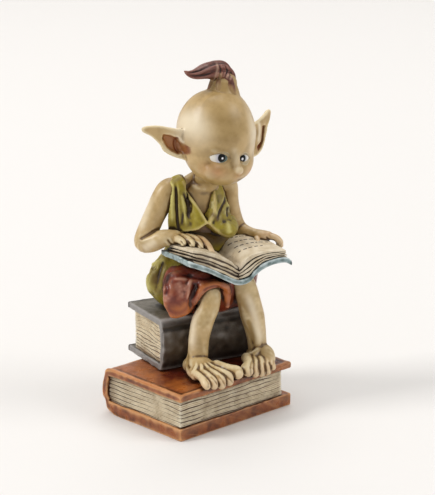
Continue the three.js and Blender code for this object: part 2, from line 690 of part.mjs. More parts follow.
// The finished solid as a geometry with flat faces.
function geometryOf(whole) {
  const mesh = whole.getMesh();
  const geometry = new THREE.BufferGeometry();
  geometry.setAttribute('position', new THREE.BufferAttribute(Float32Array.from(mesh.vertProperties), 3));
  geometry.setIndex(new THREE.BufferAttribute(Uint32Array.from(mesh.triVerts), 1));
  geometry.computeVertexNormals();
  return geometry;
}

const resin = new THREE.MeshStandardMaterial({ color: 0xb89a66, roughness: 0.55, metalness: 0 });
const reader = new THREE.Mesh(geometryOf(cast), resin);
reader.name = 'reading_goblin';

const figurine = new THREE.Group();
figurine.add(reader);

export default figurine;
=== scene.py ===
from math import cos, pi, radians, sin

import bpy
import numpy as np
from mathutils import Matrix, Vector


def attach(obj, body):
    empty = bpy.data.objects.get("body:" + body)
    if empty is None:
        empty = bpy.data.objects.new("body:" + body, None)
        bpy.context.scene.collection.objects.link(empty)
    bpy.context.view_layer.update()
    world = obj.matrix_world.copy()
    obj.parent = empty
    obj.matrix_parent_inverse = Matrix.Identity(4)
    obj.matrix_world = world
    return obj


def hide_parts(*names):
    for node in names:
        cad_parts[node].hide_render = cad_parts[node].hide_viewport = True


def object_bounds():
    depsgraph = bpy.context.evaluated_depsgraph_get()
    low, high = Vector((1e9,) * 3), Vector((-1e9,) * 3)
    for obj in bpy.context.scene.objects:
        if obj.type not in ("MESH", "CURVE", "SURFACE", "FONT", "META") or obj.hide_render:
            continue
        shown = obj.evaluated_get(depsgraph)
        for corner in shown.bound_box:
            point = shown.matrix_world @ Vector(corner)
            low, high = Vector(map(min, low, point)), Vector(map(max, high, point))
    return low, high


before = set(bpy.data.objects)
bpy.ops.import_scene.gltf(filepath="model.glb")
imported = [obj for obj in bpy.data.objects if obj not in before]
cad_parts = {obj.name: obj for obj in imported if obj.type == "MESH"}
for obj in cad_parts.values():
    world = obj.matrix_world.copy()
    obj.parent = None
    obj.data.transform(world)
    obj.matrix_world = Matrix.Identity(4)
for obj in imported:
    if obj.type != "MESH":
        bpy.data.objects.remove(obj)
cadLow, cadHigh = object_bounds()
castNode = "reading_goblin"
millimetre = 0.001
print("frame loaded")


# Camera, at the photograph's angle

viewer = {
    "azimuth": -43.2,
    "elevation": 15.2,
    "distance": 600.0,
    "aim": (4.3, -5.5, 61.2),
    "lens": 122.44,
    "sensor": 36.0,
    "picture": (435, 495),
}


def viewAxes():
    # back points from the aim to the eye; right and up span the picture
    turn, lift = radians(viewer["azimuth"]), radians(viewer["elevation"])
    back = np.array([sin(turn) * cos(lift), -cos(turn) * cos(lift), sin(lift)])
    right = np.array([cos(turn), sin(turn), 0.0])
    return back, right, np.cross(back, right)


def seen(points):
    # picture place = middle + focal length times (sideways, -upwards) over the way from the eye
    back, right, up = viewAxes()
    wide, high = viewer["picture"]
    focal = viewer["lens"] / viewer["sensor"] * high
    away = points - (np.array(viewer["aim"]) + back * viewer["distance"])
    depth = -(away @ back)
    return np.stack([wide / 2 + focal * (away @ right) / depth, high / 2 - focal * (away @ up) / depth], axis=-1)


def addCamera():
    # the lens stands back from the aim by the viewer's distance and looks at the aim
    back = Vector(viewAxes()[0])
    lens = bpy.data.cameras.new("viewer")
    lens.lens = viewer["lens"]
    lens.sensor_width = viewer["sensor"]
    lens.clip_start, lens.clip_end = 0.01, 20
    camera = bpy.data.objects.new("viewer", lens)
    camera.location = Vector(viewer["aim"]) * millimetre + back * viewer["distance"] * millimetre
    camera.rotation_mode = "QUATERNION"
    camera.rotation_quaternion = (-back).to_track_quat("-Z", "Y")
    bpy.context.scene.collection.objects.link(camera)
    bpy.context.scene.camera = camera


addCamera()


# Curves, noise and grids

def hump(value, middle, width):
    # 1 at the middle and less to both sides: e to the -((value - middle) / width)²
    return np.exp(-((value - middle) / width) ** 2)


def spline(stations, run):
    # a smooth curve through rows of numbers: Hermite spans whose slopes are weighted by the root of
    # each gap; run goes 0..1 and shares the spans equally
    p = np.asarray(stations, float)
    gap = np.maximum(np.linalg.norm(np.diff(p, axis=0), axis=1), 1e-6) ** 0.5
    slope = np.diff(p, axis=0) / gap[:, None]
    inner = (slope[:-1] * gap[1:, None] + slope[1:] * gap[:-1, None]) / (gap[:-1] + gap[1:])[:, None]
    slopes = np.vstack([slope[:1], inner, slope[-1:]])
    place = np.clip(np.asarray(run, float) * (len(p) - 1), 0, len(p) - 1 - 1e-9)
    i = place.astype(int)
    t = (place - i)[..., None]
    g = gap[i][..., None]
    return ((2 * t**3 - 3 * t**2 + 1) * p[i] + (t**3 - 2 * t**2 + t) * g * slopes[i]
            + (3 * t**2 - 2 * t**3) * p[i + 1] + (t**3 - t**2) * g * slopes[i + 1])


def evenRun(stations, spacing, columns=3):
    # the runs at which the curve's points lie evenly spaced, by its length over its first columns
    fine = np.linspace(0, 1, 800)
    steps = np.linalg.norm(np.diff(spline(stations, fine)[:, :columns], axis=0), axis=1)
    length = np.concatenate([[0], np.cumsum(steps)])
    count = max(int(length[-1] / spacing) + 1, 8)
    return np.interp(np.linspace(0, length[-1], count), length, fine)


def ease(value, low, high):
    # 0 up to low, 1 from high, smooth between: 3t² - 2t³
    t = np.clip((value - low) / (high - low), 0, 1)
    return t * t * (3 - 2 * t)


def noise(points, size, seed=0):
    # value noise, -1..1: hashed numbers at the corners of cells of that size, blended smoothly
    cell = np.asarray(points, float) / size
    low = np.floor(cell).astype(np.int64)
    t = cell - low
    t = t * t * (3 - 2 * t)
    total = 0.0
    for i in range(8):
        corner = np.array([i & 1, i >> 1 & 1, i >> 2])
        x, y, z = np.moveaxis(low + corner, -1, 0)
        mixed = (x * 374761393 + y * 668265263 + z * 1103515245 + seed * 974634777) & 0xFFFFFFFF
        mixed = ((mixed ^ (mixed >> 13)) * 1274126177) & 0xFFFFFFFF
        value = ((mixed ^ (mixed >> 16)) & 0xFFFF) / 32767.5 - 1
        total = total + value * np.prod(np.where(corner, t, 1 - t), axis=-1)
    return total


def tube(rings):
    # neighbouring rings joined by quads, the first and the last closed by one face each
    rows, around = rings.shape[:2]
    index = np.arange(rows * around).reshape(rows, around)
    nextOne = np.roll(index, -1, axis=1)
    quads = np.stack([index[:-1], nextOne[:-1], nextOne[1:], index[1:]], axis=-1).reshape(-1, 4)
    return rings.reshape(-1, 3), [quads, index[:1, ::-1], index[-1:]]


def unitRows(rows):
    # each row over its own length
    return rows / np.maximum(np.linalg.norm(rows, axis=-1, keepdims=True), 1e-9)


def limb(stations, facing=None, around=28, spacing=0.5):
    # a ring carried along a smooth path through stations [x, y, z, half across, half through];
    # both ends close with a quarter turn of the ring's own size
    full = np.array([list(s) + [s[3]] * (5 - len(s)) for s in stations], float)
    rows = spline(full, evenRun(full, spacing))
    path, wide = rows[:, :3], np.maximum(rows[:, 3:], 0.15)
    tangent = unitRows(np.gradient(path, axis=0))
    if facing is None:
        facing = np.cross(path[len(path) // 2] - path[0], path[-1] - path[len(path) // 2])
        if np.linalg.norm(facing) < 1e-3:
            facing = (1, 0, 0) if abs(tangent[0, 2]) > 0.6 else (0, 0, 1)
    turn = np.linspace(0.96 * pi / 2, 0, 7)[:-1]
    first = path[0] - tangent[0] * (np.sin(turn) * wide[0].min())[:, None]
    last = path[-1] + tangent[-1] * (np.sin(turn) * wide[-1].min())[::-1, None]
    path = np.vstack([first, path, last])
    tangent = np.vstack([np.repeat(tangent[:1], 6, 0), tangent, np.repeat(tangent[-1:], 6, 0)])
    caps = np.cos(turn)[:, None]
    wide = np.vstack([wide[:1] * caps, wide, wide[-1:] * caps[::-1]])
    across = unitRows(np.cross(tangent, np.asarray(facing, float)))
    through = unitRows(np.cross(across, tangent))
    angle = np.linspace(0, 2 * pi, around, endpoint=False)[None, :, None]
    rings = (path[:, None] + across[:, None] * np.cos(angle) * wide[:, None, :1]
             + through[:, None] * np.sin(angle) * wide[:, None, 1:])
    return tube(rings)


def stacked(stations, around=150, spacing=0.5, turn=0.0, ripple=None):
    # rings stacked upwards from rows [z, half width, half depth forward, half depth back, middle x,
    # middle y]; ripple(angle, z) pushes each point outwards, and the turn is about Z
    run = evenRun(stations, spacing, 2)
    z, wide, fore, aft, midX, midY = np.moveaxis(spline(stations, run), -1, 0)[..., None]
    angle = np.linspace(0, 2 * pi, around, endpoint=False)[None]
    swell = 0.0 if ripple is None else ripple(angle, z) * np.clip(wide / 3, 0, 1)
    offX = np.cos(angle) * (wide + swell)
    offY = np.sin(angle) * (np.where(np.sin(angle) > 0, aft, fore) + swell)
    x = midX + offX * cos(turn) - offY * sin(turn)
    y = midY + offX * sin(turn) + offY * cos(turn)
    return tube(np.stack([x, y, z + 0 * angle], axis=-1))


def blob(middle, halves, turn=0.0, around=28):
    # an ellipsoid: middle + halves times (cos a sin b, sin a sin b, cos b), turned about Z
    a = np.linspace(0, 2 * pi, around, endpoint=False)[None]
    b = np.linspace(0.03, pi - 0.03, around // 2)[:, None]
    x = halves[0] * np.cos(a) * np.sin(b)
    y = halves[1] * np.sin(a) * np.sin(b)
    z = halves[2] * np.cos(b) + 0 * a
    grid = np.stack([x * cos(turn) - y * sin(turn), x * sin(turn) + y * cos(turn), z], axis=-1)
    return tube(grid + np.asarray(middle, float))


def together(shells):
    # several closed shells as one list of points and faces
    points, faces, start = [], [], 0
    for grid, parts in shells:
        points.append(grid)
        faces += [part + start for part in parts]
        start += len(grid)
    return np.vstack(points), faces


def moved(shell, change):
    # the same shell with its points put through the change
    return change(shell[0]), shell[1]


def meshOf(name, points, faces):
    # faces that point inwards, so that the enclosed volume comes out negative, are turned round
    volume = 0.0
    for part in faces:
        for k in range(1, part.shape[1] - 1):
            a, b, c = points[part[:, 0]], points[part[:, k]], points[part[:, k + 1]]
            volume += np.einsum("ij,ij->", a, np.cross(b, c))
    if volume < 0:
        faces = [part[:, ::-1] for part in faces]
    mesh = bpy.data.meshes.new(name)
    corners = np.concatenate([part.ravel() for part in faces])
    counts = np.concatenate([np.full(len(part), part.shape[1]) for part in faces])
    mesh.vertices.add(len(points))
    mesh.vertices.foreach_set("co", np.ascontiguousarray(points, np.float32).ravel())
    mesh.loops.add(len(corners))
    mesh.loops.foreach_set("vertex_index", corners.astype(np.int32))
    mesh.polygons.add(len(counts))
    mesh.polygons.foreach_set("loop_start", (np.cumsum(counts) - counts).astype(np.int32))
    mesh.update(calc_edges=True)
    return mesh


skins = {  # cell size and rounds of smoothing of each piece that is fused from overlapping shells
    "head": (0.30, 3), "hair": (0.22, 1), "arms": (0.29, 2), "chest": (0.45, 4), "legs": (0.34, 2),
    "tunic": (0.30, 2), "skirt": (0.32, 2),
}


def fused(name, shells):
    # shells in the figure's frame become one skin of small quads, softened where they meet
    points, faces = together(shells)
    rough = bpy.data.objects.new(name, meshOf(name, fromFigure(points), faces))
    bpy.context.scene.collection.objects.link(rough)
    join = rough.modifiers.new("join", "REMESH")
    join.mode = "VOXEL"
    smooth = rough.modifiers.new("smooth", "SMOOTH")
    smooth.factor = 0.5
    join.voxel_size, smooth.iterations = skins[name]
    graph = bpy.context.evaluated_depsgraph_get()
    mesh = bpy.data.meshes.new_from_object(rough.evaluated_get(graph))
    bpy.data.meshes.remove(rough.data)
    mesh.name = name
    return mesh


def pointsOf(mesh):
    # every vertex's place, one row each
    flat = np.zeros(len(mesh.vertices) * 3, np.float32)
    mesh.vertices.foreach_get("co", flat)
    return flat.reshape(-1, 3).astype(float)


def normalsOf(mesh):
    # every vertex's outward direction, one row each
    flat = np.zeros(len(mesh.vertices) * 3, np.float32)
    mesh.vertex_normals.foreach_get("vector", flat)
    return flat.reshape(-1, 3).astype(float)


def setPoints(mesh, points):
    # every vertex goes to the place in its row
    mesh.vertices.foreach_set("co", np.ascontiguousarray(points, np.float32).ravel())
    mesh.update()


def blurred(mesh, values, rounds):
    # each round gives every vertex the mean of its neighbours' values
    ends = np.zeros(len(mesh.edges) * 2, np.int32)
    mesh.edges.foreach_get("vertices", ends)
    a, b = ends.reshape(-1, 2).T
    count = np.maximum(np.bincount(a, minlength=len(values)) + np.bincount(b, minlength=len(values)), 1)
    columns = values.reshape(len(values), -1).T.copy()
    for _ in range(rounds):
        columns = np.array([
            (np.bincount(a, v[b], len(v)) + np.bincount(b, v[a], len(v))) / count for v in columns
        ])
    return columns.T.reshape(values.shape)


def hollows(mesh, rounds):
    # how far the blurred surface lies outside the real one: positive in creases, negative on ridges
    points = pointsOf(mesh)
    return np.einsum("ij,ij->i", blurred(mesh, points, rounds) - points, normalsOf(mesh))


def lineDistance(places, line):
    # distance in the picture from each place to a line of short straight stretches, and 0 at the line's
    # two ends rising to 1 a fifth of its length inside them
    best, share = np.full(len(places), 1e9), np.zeros(len(places))
    for i, (a, b) in enumerate(zip(line[:-1], line[1:])):
        t = np.clip((places - a) @ (b - a) / max((b - a) @ (b - a), 1e-9), 0, 1)
        away = np.linalg.norm(places - a - t[:, None] * (b - a), axis=1)
        share = np.where(away < best, (i + t) / (len(line) - 1), share)
        best = np.minimum(best, away)
    return best, ease(0.5 - np.abs(share - 0.5), -0.04, 0.2)


def bend(line, count=24):
    # a smooth curve through the line's places, or the line itself where it has only two
    return spline(line, np.linspace(0, 1, count)) if len(line) > 2 else np.asarray(line, float)


def facingViewer(mesh):
    # 1 where the surface looks at the viewer and 0 where it looks away, by outward direction · back
    return ease(normalsOf(mesh) @ viewAxes()[0], 0.02, 0.3)


pictureScale = 2.67  # picture points to a millimetre at the figure


def drawnOn(mesh, lines, width):
    # a soft mask, 1 on lines drawn in the picture and thrown onto the side that faces the viewer
    places = seen(pointsOf(mesh))
    mask = np.zeros(len(places))
    for line in lines:
        away, taper = lineDistance(places, bend(line))
        mask = np.maximum(mask, taper * hump(away, 0, width * pictureScale))
    return mask * facingViewer(mesh)


def linesOf(strokes, sign=0):
    # the picture lines of all the strokes, of the grooves alone (1) or of the ridges alone (-1)
    return [line for depth, width, line in strokes if depth * sign >= 0]


def carve(mesh, strokes):
    # each stroke is (depth, width, line): a groove of that depth, hump(distance / width), with a low soft
    # bank on both sides; a negative depth is a ridge
    for depth, width, line in strokes:
        away, taper = lineDistance(seen(pointsOf(mesh)), bend(line))
        away = away / (width * pictureScale)
        profile = (hump(away, 0, 1) - 0.15 * hump(away, 2, 1)) * taper * facingViewer(mesh)
        setPoints(mesh, pointsOf(mesh) - normalsOf(mesh) * (depth * profile)[:, None])


def roughen(mesh, amounts, seed=1):
    # hand-cast unevenness: noise of several sizes along the normal, amounts {size: height}
    points = pointsOf(mesh)
    lift = sum(height * noise(points, size, seed) for size, height in amounts.items())
    setPoints(mesh, points + normalsOf(mesh) * lift[:, None])


# The frame that the sitting figure is drawn in

sitting = {"turn": -14.4, "shiftX": 8.7, "shiftY": 11.3, "depth": 27.7, "height": 36.0}


def fromFigure(points):
    # x to the figure's left, y to its back from the seat's front edge, z up from the seat
    points = np.asarray(points, float)
    c, s = cos(radians(sitting["turn"])), sin(radians(sitting["turn"]))
    x, y = points[..., 0], points[..., 1] - sitting["depth"] / 2
    return np.stack([c * x - s * y + sitting["shiftX"], s * x + c * y + sitting["shiftY"],
                     points[..., 2] + sitting["height"]], axis=-1)


def toFigure(points):
    # the way back: turned the other way round, in the figure's own x, y and z
    c, s = cos(radians(sitting["turn"])), sin(radians(sitting["turn"]))
    x, y = points[..., 0] - sitting["shiftX"], points[..., 1] - sitting["shiftY"]
    return np.stack([c * x + s * y, c * y - s * x + sitting["depth"] / 2,
                     points[..., 2] - sitting["height"]], axis=-1)


def insideOutline(places, outline):
    # distance to a closed outline, positive inside it
    corners = [np.array(c, float) for c in outline]
    best, inside = np.full(len(places), 1e9), np.zeros(len(places), bool)
    for a, b in zip(corners, corners[1:] + corners[:1]):
        t = np.clip((places - a) @ (b - a) / ((b - a) @ (b - a)), 0, 1)
        best = np.minimum(best, np.linalg.norm(places - a - t[:, None] * (b - a), axis=1))
        crosses = (a[1] > places[:, 1]) != (b[1] > places[:, 1])
        at = (b[0] - a[0]) * (places[:, 1] - a[1]) / (b[1] - a[1] + 1e-12) + a[0]
        inside ^= crosses & (places[:, 0] < at)
    return np.where(inside, best, -best)


def soften(mesh, share, rounds=10):
    # places move that share of the way towards the mean of the places around them
    points = pointsOf(mesh)
    smooth = np.column_stack([blurred(mesh, points[:, k], rounds) for k in range(3)])
    setPoints(mesh, points + (smooth - points) * share[:, None])


# Paint

class Wire:
    # one socket's value; sums on it add Math nodes to its paint
    def __init__(self, paint, socket):
        self.paint, self.socket = paint, socket

    def sum(self, operation, first, second):
        return self.paint.node("ShaderNodeMath", {"operation": operation}, {0: first, 1: second})

    def __add__(self, other):
        return self.sum("ADD", self, other)

    def __sub__(self, other):
        return self.sum("SUBTRACT", self, other)

    def __rsub__(self, other):
        return self.sum("SUBTRACT", other, self)

    def __mul__(self, other):
        return self.sum("MULTIPLY", self, other)

    def __truediv__(self, other):
        return self.sum("DIVIDE", self, other)

    def __rtruediv__(self, other):
        return self.sum("DIVIDE", other, self)

    __radd__ = __add__
    __rmul__ = __mul__

    def between(self, low, high):
        # 0 up to low, 1 from high, smooth between
        return self.paint.node("ShaderNodeMapRange", {"interpolation_type": "SMOOTHSTEP"},
                               {"Value": self, "From Min": low, "From Max": high})


class Paint:
    # one material: nodes are added by node(), and coat() joins the surface
    def __init__(self, name):
        self.material = bpy.data.materials.new(name)
        self.material.use_nodes = True
        self.tree = self.material.node_tree
        self.tree.nodes.clear()
        self.place = self.node("ShaderNodeTexCoord", output="Object")

    def node(self, kind, settings=None, sockets=None, output=0):
        # adds a node of any kind, sets it up, links or fills its sockets and hands back one output
        made = self.tree.nodes.new(kind)
        for key, value in (settings or {}).items():
            setattr(made, key, value)
        for key, value in (sockets or {}).items():
            if isinstance(value, Wire):
                self.tree.links.new(value.socket, made.inputs[key])
            else:
                made.inputs[key].default_value = value
        return Wire(self, made.outputs[output]) if made.outputs else None

    def mask(self, name):
        # a value that the piece's vertices carry under that name
        return self.node("ShaderNodeAttribute", {"attribute_name": name}, output="Fac")

    def speckle(self, size, detail):
        # noise 0..1 whose grains have that size in millimetres
        return self.node("ShaderNodeTexNoise", None,
                         {"Vector": self.place, "Scale": 1 / (size * millimetre), "Detail": detail})

    def mix(self, amount, first, second):
        # colours: first where the amount is 0, second where it is 1
        return self.node("ShaderNodeMix", {"data_type": "RGBA"},
                         {0: amount, 6: colour(first), 7: colour(second)}, output=2)

    def coat(self, hue, roughness=0.5, bump=None, height=0.05, specular=0.5):
        # the surface itself; the bump's height is in millimetres
        sockets = {"Base Color": colour(hue), "Roughness": roughness, "Specular IOR Level": specular}
        if bump is not None:
            sockets["Normal"] = self.node("ShaderNodeBump", None,
                                          {"Strength": 0.6, "Distance": height * millimetre, "Height": bump})
        surface = self.node("ShaderNodeBsdfPrincipled", None, sockets)
        self.node("ShaderNodeOutputMaterial", None, {"Surface": surface})
        return self.material


def colour(value):
    # three numbers as seen on a screen, 0..255, become the linear light that the shader takes
    if isinstance(value, Wire):
        return value
    share = np.asarray(value, float) / 255
    light = np.where(share <= 0.04045, share / 12.92, ((share + 0.055) / 1.055) ** 2.4)
    return (*light, 1.0)


def castPaint(name, look):
    # base colour, mottled; brushed pale on ridges; washed dark in creases, and darkened by painted shade where pieces
    # meet;
    # every named mask of the piece lays its own colour below the wash or on top of it
    paint = Paint(name)
    grain = paint.speckle(look.get("grain", 3.0), 4.0)
    hue = paint.mix(grain.between(0.35, 0.7), look["base"], look["mottle"])
    fleck = paint.speckle(0.9, 5.0).between(0.52, 0.78)
    ridge = paint.mask("ridge")
    brushed = (ridge * look.get("brush", 1.0)).between(0.1, 1.0) * look.get("brushMost", 0.7)
    hue = paint.mix(brushed, hue, look["pale"])
    for key, tone, most in look.get("layers", []):
        hue = paint.mix(paint.mask(key) * most, hue, tone)
    # the dark tone goes into creases as the cast's wash, and where pieces meet as painted shade
    crease = paint.mask("crease") * look.get("wash", 1.0) + paint.mask("contactShade") * look.get("contactShade", 0.9)
    crease = crease + grain * 0.4 + fleck * look.get("fleck", 0.16) - 0.2
    hue = paint.mix(crease.between(0.05, 0.95) * look.get("washMost", 0.9), hue, look["dark"])
    for key, tone, most in look.get("top", []):
        hue = paint.mix(paint.mask(key) * most, hue, tone)
    rough = grain * 0.15 + look.get("roughness", 0.42)
    return paint.coat(hue, rough, paint.speckle(0.5, 2.0), look.get("bump", 0.03))


built = []
# reach and strength of the painted shade where pieces meet
crowding = {"cell": 0.5, "reach": 1.25, "strength": 2.6, "floor": 0.10}


def addCrowding():
    # painted shade where pieces meet: cells of a grid that any piece passes through are marked; a point is painted
    # darker when many cells are marked in the little cube that lies the reach out from its surface
    cell = crowding["cell"]
    low = np.array(cadLow) / millimetre - 4
    size = ((np.array(cadHigh) / millimetre + 4 - low) / cell).astype(int)
    grid = np.zeros(size, np.float32)
    for mesh in built:
        i, j, k = np.clip((pointsOf(mesh) / millimetre - low) / cell, 0, size - 1).astype(int).T
        grid[i, j, k] = 1
    for axis in range(3):
        grid = (grid + np.roll(grid, 1, axis) + np.roll(grid, -1, axis)) / 3
    for mesh in built:
        out = pointsOf(mesh) / millimetre + normalsOf(mesh) * crowding["reach"]
        i, j, k = np.clip((out - low) / cell, 0, size - 1).astype(int).T
        share = (grid[i, j, k] - crowding["floor"]) * crowding["strength"]
        layer = mesh.attributes.new("contactShade", "FLOAT", "POINT")
        share = np.clip(blurred(mesh, share, 3), 0, 1)
        layer.data.foreach_set("value", np.ascontiguousarray(share, np.float32))


creaseRounds = 4  # rounds of blurring that find the fine creases; hollowRounds find the broad hollows


def finished(mesh, paint, masks=None, creaseScale=6.0, hollowRounds=25, hollowScale=1.2, calm=0.0):
    # masks come from the shape itself and from the caller, and calm keeps the wash off; the mesh goes to
    # metres, is kept inside the solid's box, and goes onto the frame
    fine = hollows(mesh, creaseRounds) * creaseScale
    broad = hollows(mesh, hollowRounds) * hollowScale
    crease = np.clip(np.maximum(fine, 0) + np.maximum(broad, 0), 0, 1.5) * (1 - calm)
    ridge = np.clip(np.maximum(-fine, 0) + 0.5 * np.maximum(-broad, 0), 0, 1.5)
    values = {"crease": blurred(mesh, crease, 1), "ridge": blurred(mesh, ridge, 1), **(masks or {})}
    for key, value in values.items():
        layer = mesh.attributes.new(key, "FLOAT", "POINT")
        layer.data.foreach_set("value", np.ascontiguousarray(value, np.float32))
    built.append(mesh)
    setPoints(mesh, np.clip(pointsOf(mesh) * millimetre, cadLow, cadHigh))
    mesh.shade_smooth()
    piece = bpy.data.objects.new(mesh.name, mesh)
    bpy.context.scene.collection.objects.link(piece)
    mesh.materials.clear()
    mesh.materials.append(paint)
    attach(piece, "root")
    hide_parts(castNode)
    print(f"{mesh.name}: {len(mesh.polygons)} faces")
    return piece


# Head and ears

head = {"middle": 3.8, "yaw": 8}  # the skull's middle, and its turn to the left
face = {"middle": 2.4, "axis": 1.2, "yaw": 13.7, "roll": 8.6}  # the face turns and leans further
skullStations = [
    [47.0, 0.3, 0.3, 0.3, 3.4, -0.8], [47.7, 4.0, 3.6, 4.0, 3.4, -0.8], [49.2, 7.0, 6.4, 7.2, 3.4, -0.8],
    [51.2, 9.9, 8.6, 9.8, 3.5, -0.6], [54.0, 12.1, 9.6, 11.6, 3.7, 0.3], [57.0, 13.2, 9.3, 12.9, 3.8, 1.6],
    [60.5, 13.8, 11.5, 14.2, 3.8, 3.0], [65.5, 14.2, 13.8, 14.8, 3.8, 4.3], [70.0, 13.4, 13.2, 14.0, 3.8, 4.6],
    [74.0, 11.7, 11.6, 12.2, 3.9, 4.6], [78.0, 8.4, 8.4, 8.6, 4.0, 4.5], [80.2, 4.2, 4.2, 4.2, 4.1, 4.4],
    [80.8, 0.3, 0.3, 0.3, 4.1, 4.4],
]
skullBlobs = [  # aside, forward, height in the face, then half sizes
    (0, 10.8, 54.0, 2.2, 1.9, 1.75), (0.1, 9.6, 57.2, 1.6, 1.5, 3.6), (-1.6, 10.1, 53.5, 0.9, 1.0, 0.8),
    (1.6, 10.1, 53.5, 0.9, 1.0, 0.8), (-0.2, 8.9, 51.7, 1.9, 1.3, 0.7), (-0.3, 8.5, 50.5, 1.5, 1.2, 0.65),
    (-0.6, 6.8, 49.6, 2.5, 2.0, 1.6), (-6.6, 5.2, 52.8, 4.0, 3.2, 3.4), (5.9, 5.0, 53.6, 3.4, 2.9, 3.0),
    (-4.9, 6.5, 60.9, 4.2, 1.9, 1.8), (4.9, 7.2, 60.9, 3.7, 2.0, 1.6),
]
headLines = {  # places in the picture
    "mouth": [(234.0, 181.0), (240.0, 179.6), (246.5, 176.8)],
    "mouth inked": [(237.0, 180.6), (242.0, 178.9), (246.8, 176.6)],
    "left ear's rim": [(258.6, 121.0), (259.6, 132.0), (257.6, 144.0)],
    "beside nose": [(232.5, 152.0), (232.0, 163.0), (233.5, 173.0)],
    "under brow": [(204.0, 152.0), (216.0, 149.5), (229.0, 152.0)],
    "under eye": [(207.0, 160.0), (214.0, 168.0), (226.0, 169.0)],
    "nose's bridge": [(234.0, 146.0), (236.0, 158.0), (237.5, 168.0)],
    "nose's tip": [(236.0, 168.0), (240.0, 168.5)],
    "behind right ear": [(184.5, 128.0), (188.0, 138.0), (188.0, 150.0)],
    "left ear lit": [(258.8, 121.0), (259.6, 132.0), (257.8, 143.0)],
    "right ear lit": [(176.0, 135.5), (184.5, 143.5)],
}
# tints, painted highlights and painted shade of the face, each strength times e to the -(aside² / spread + height² /
# spread)
# round its middle: mask, strength, middle aside and height, spread aside and height, and the least way forward
faceTints = [
    ("blush", 0.9, -7.4, 53.4, 8.0, 8.0 / 1.5, 2), ("blush", 0.7, 7.4, 53.0, 7.0, 7.0 / 1.3, 2),
    ("blush", 0.4, 0.0, 52.2, 4.0, 4.0, 8), ("light", 1.2, -12.0, 70.0, 12.0, 50.0, -99),
    ("light", 0.8, 8.5, 68.0, 8.0, 60.0, 0), ("oliveShade", 0.8, -3.0, 70.0, 30.0, 110.0, 0),
    ("oliveShade", 0.5, -1.6, 59.5, 5.0, 8.0, 4),
]
# each ear lies along a sloping plane: rows of across, top and bottom; the bowl's outline and its grooves;
# and how far to the side the ear is clear of the skull
ears = {
    -1: {"root": (-6.0, 2.0), "slope": -0.36, "deep": 1.9, "clear": (8.4, 9.6),
         "rows": [[-5.5, 64.5, 58.0], [-9.0, 67.2, 56.7], [-11.0, 68.3, 57.4], [-12.7, 68.4, 58.0],
                  [-15.0, 68.9, 59.2], [-16.7, 69.3, 60.5], [-17.7, 69.5, 62.4], [-18.9, 69.6, 63.8],
                  [-21.0, 69.5, 65.8], [-23.1, 69.1, 67.0], [-23.8, 68.6, 67.7]],
         "bowl": [(-17.0, 66.7), (-14.4, 66.3), (-12.4, 65.3), (-11.0, 63.7), (-9.4, 62.0), (-9.0, 60.0),
                  (-9.8, 59.1), (-12.1, 59.0), (-14.3, 59.9), (-15.9, 61.4), (-17.4, 64.6)],
         "grooves": [[(-12.3, 65.0), (-12.7, 62.4), (-12.0, 59.6)], [(-9.9, 62.2), (-9.7, 60.4), (-10.0, 59.4)]]},
    1: {"root": (14.0, 4.0), "slope": 0.45, "deep": 1.5, "clear": (17.0, 19.0),
        "rows": [[14.0, 66.0, 55.0], [19.0, 66.8, 54.4], [21.6, 67.5, 54.8], [23.1, 68.0, 55.7], [24.2, 68.5, 56.6],
                 [24.9, 68.9, 57.8], [25.9, 69.5, 60.2], [26.6, 69.9, 62.5], [27.3, 70.2, 64.4], [28.8, 70.3, 66.2],
                 [29.6, 70.0, 68.0], [29.9, 69.5, 68.7]],
        "bowl": [(24.2, 65.2), (26.5, 65.0), (25.9, 62.7), (25.2, 60.4), (24.1, 57.6), (22.8, 56.0), (21.4, 55.9),
                 (21.0, 58.0), (23.4, 59.4), (24.1, 61.6)],
        "grooves": [[(25.0, 64.6), (25.0, 62.4), (24.6, 60.2), (23.4, 57.4)]]},
}
# skin paint: blush is pink paint; the light layer is a painted highlight and the olive layer painted shade; on top,
# the bowl and deep tones are painted shade in the ears' bowls and grooves and low on the chest, and the line tone is
# ink at the mouth and lash lines, wash deepened as painted shade between fingers and toes, and painted shade low on
# the chest
skinLook = {
    "base": (200, 170, 118), "mottle": (174, 144, 92), "pale": (246, 230, 190), "dark": (80, 50, 18),
    "brush": 1.4, "brushMost": 0.7, "wash": 1.7, "washMost": 0.85, "contactShade": 1.3, "grain": 5.0,
    "roughness": 0.28, "bump": 0.03,
    "layers": [("blush", (204, 124, 80), 0.5), ("oliveShade", (142, 114, 60), 0.6), ("light", (250, 236, 208), 0.8)],
    "top": [("bowl", (190, 126, 68), 0.85), ("deep", (116, 52, 24), 0.85), ("line", (66, 42, 20), 0.9)],
}
skinPaint = castPaint("skin", skinLook)


def faceSpot(aside, forward, height):
    # in the face's own turn: aside to its left, forward of its axis, leaning by its roll
    c, s = cos(radians(face["yaw"])), sin(radians(face["yaw"]))
    return np.array([face["middle"] + aside * c + forward * s, face["axis"] + aside * s - forward * c,
                     height - aside * sin(radians(face["roll"]))])


def inFace(points):
    # aside, forward and height in the face of points given in the figure's frame
    c, s = cos(radians(face["yaw"])), sin(radians(face["yaw"]))
    x, y = points[..., 0] - face["middle"], points[..., 1] - face["axis"]
    return x * c + y * s, x * s - y * c, points[..., 2] + (x * c + y * s) * sin(radians(face["roll"]))


def bowlDepth(side, x, z):
    # how far a place lies inside the ear's bowl, and how near it is to one of the grooves, 0..1
    places = np.stack([np.ravel(x), np.ravel(z)], axis=-1)
    inside = insideOutline(places, ears[side]["bowl"])
    near = np.full(len(places), 9.0)
    for groove in ears[side]["grooves"]:
        near = np.minimum(near, lineDistance(places, bend(groove))[0])
    groove = hump(near, 0, 0.55) * (inside > 0)
    return inside.reshape(x.shape), groove.reshape(x.shape)


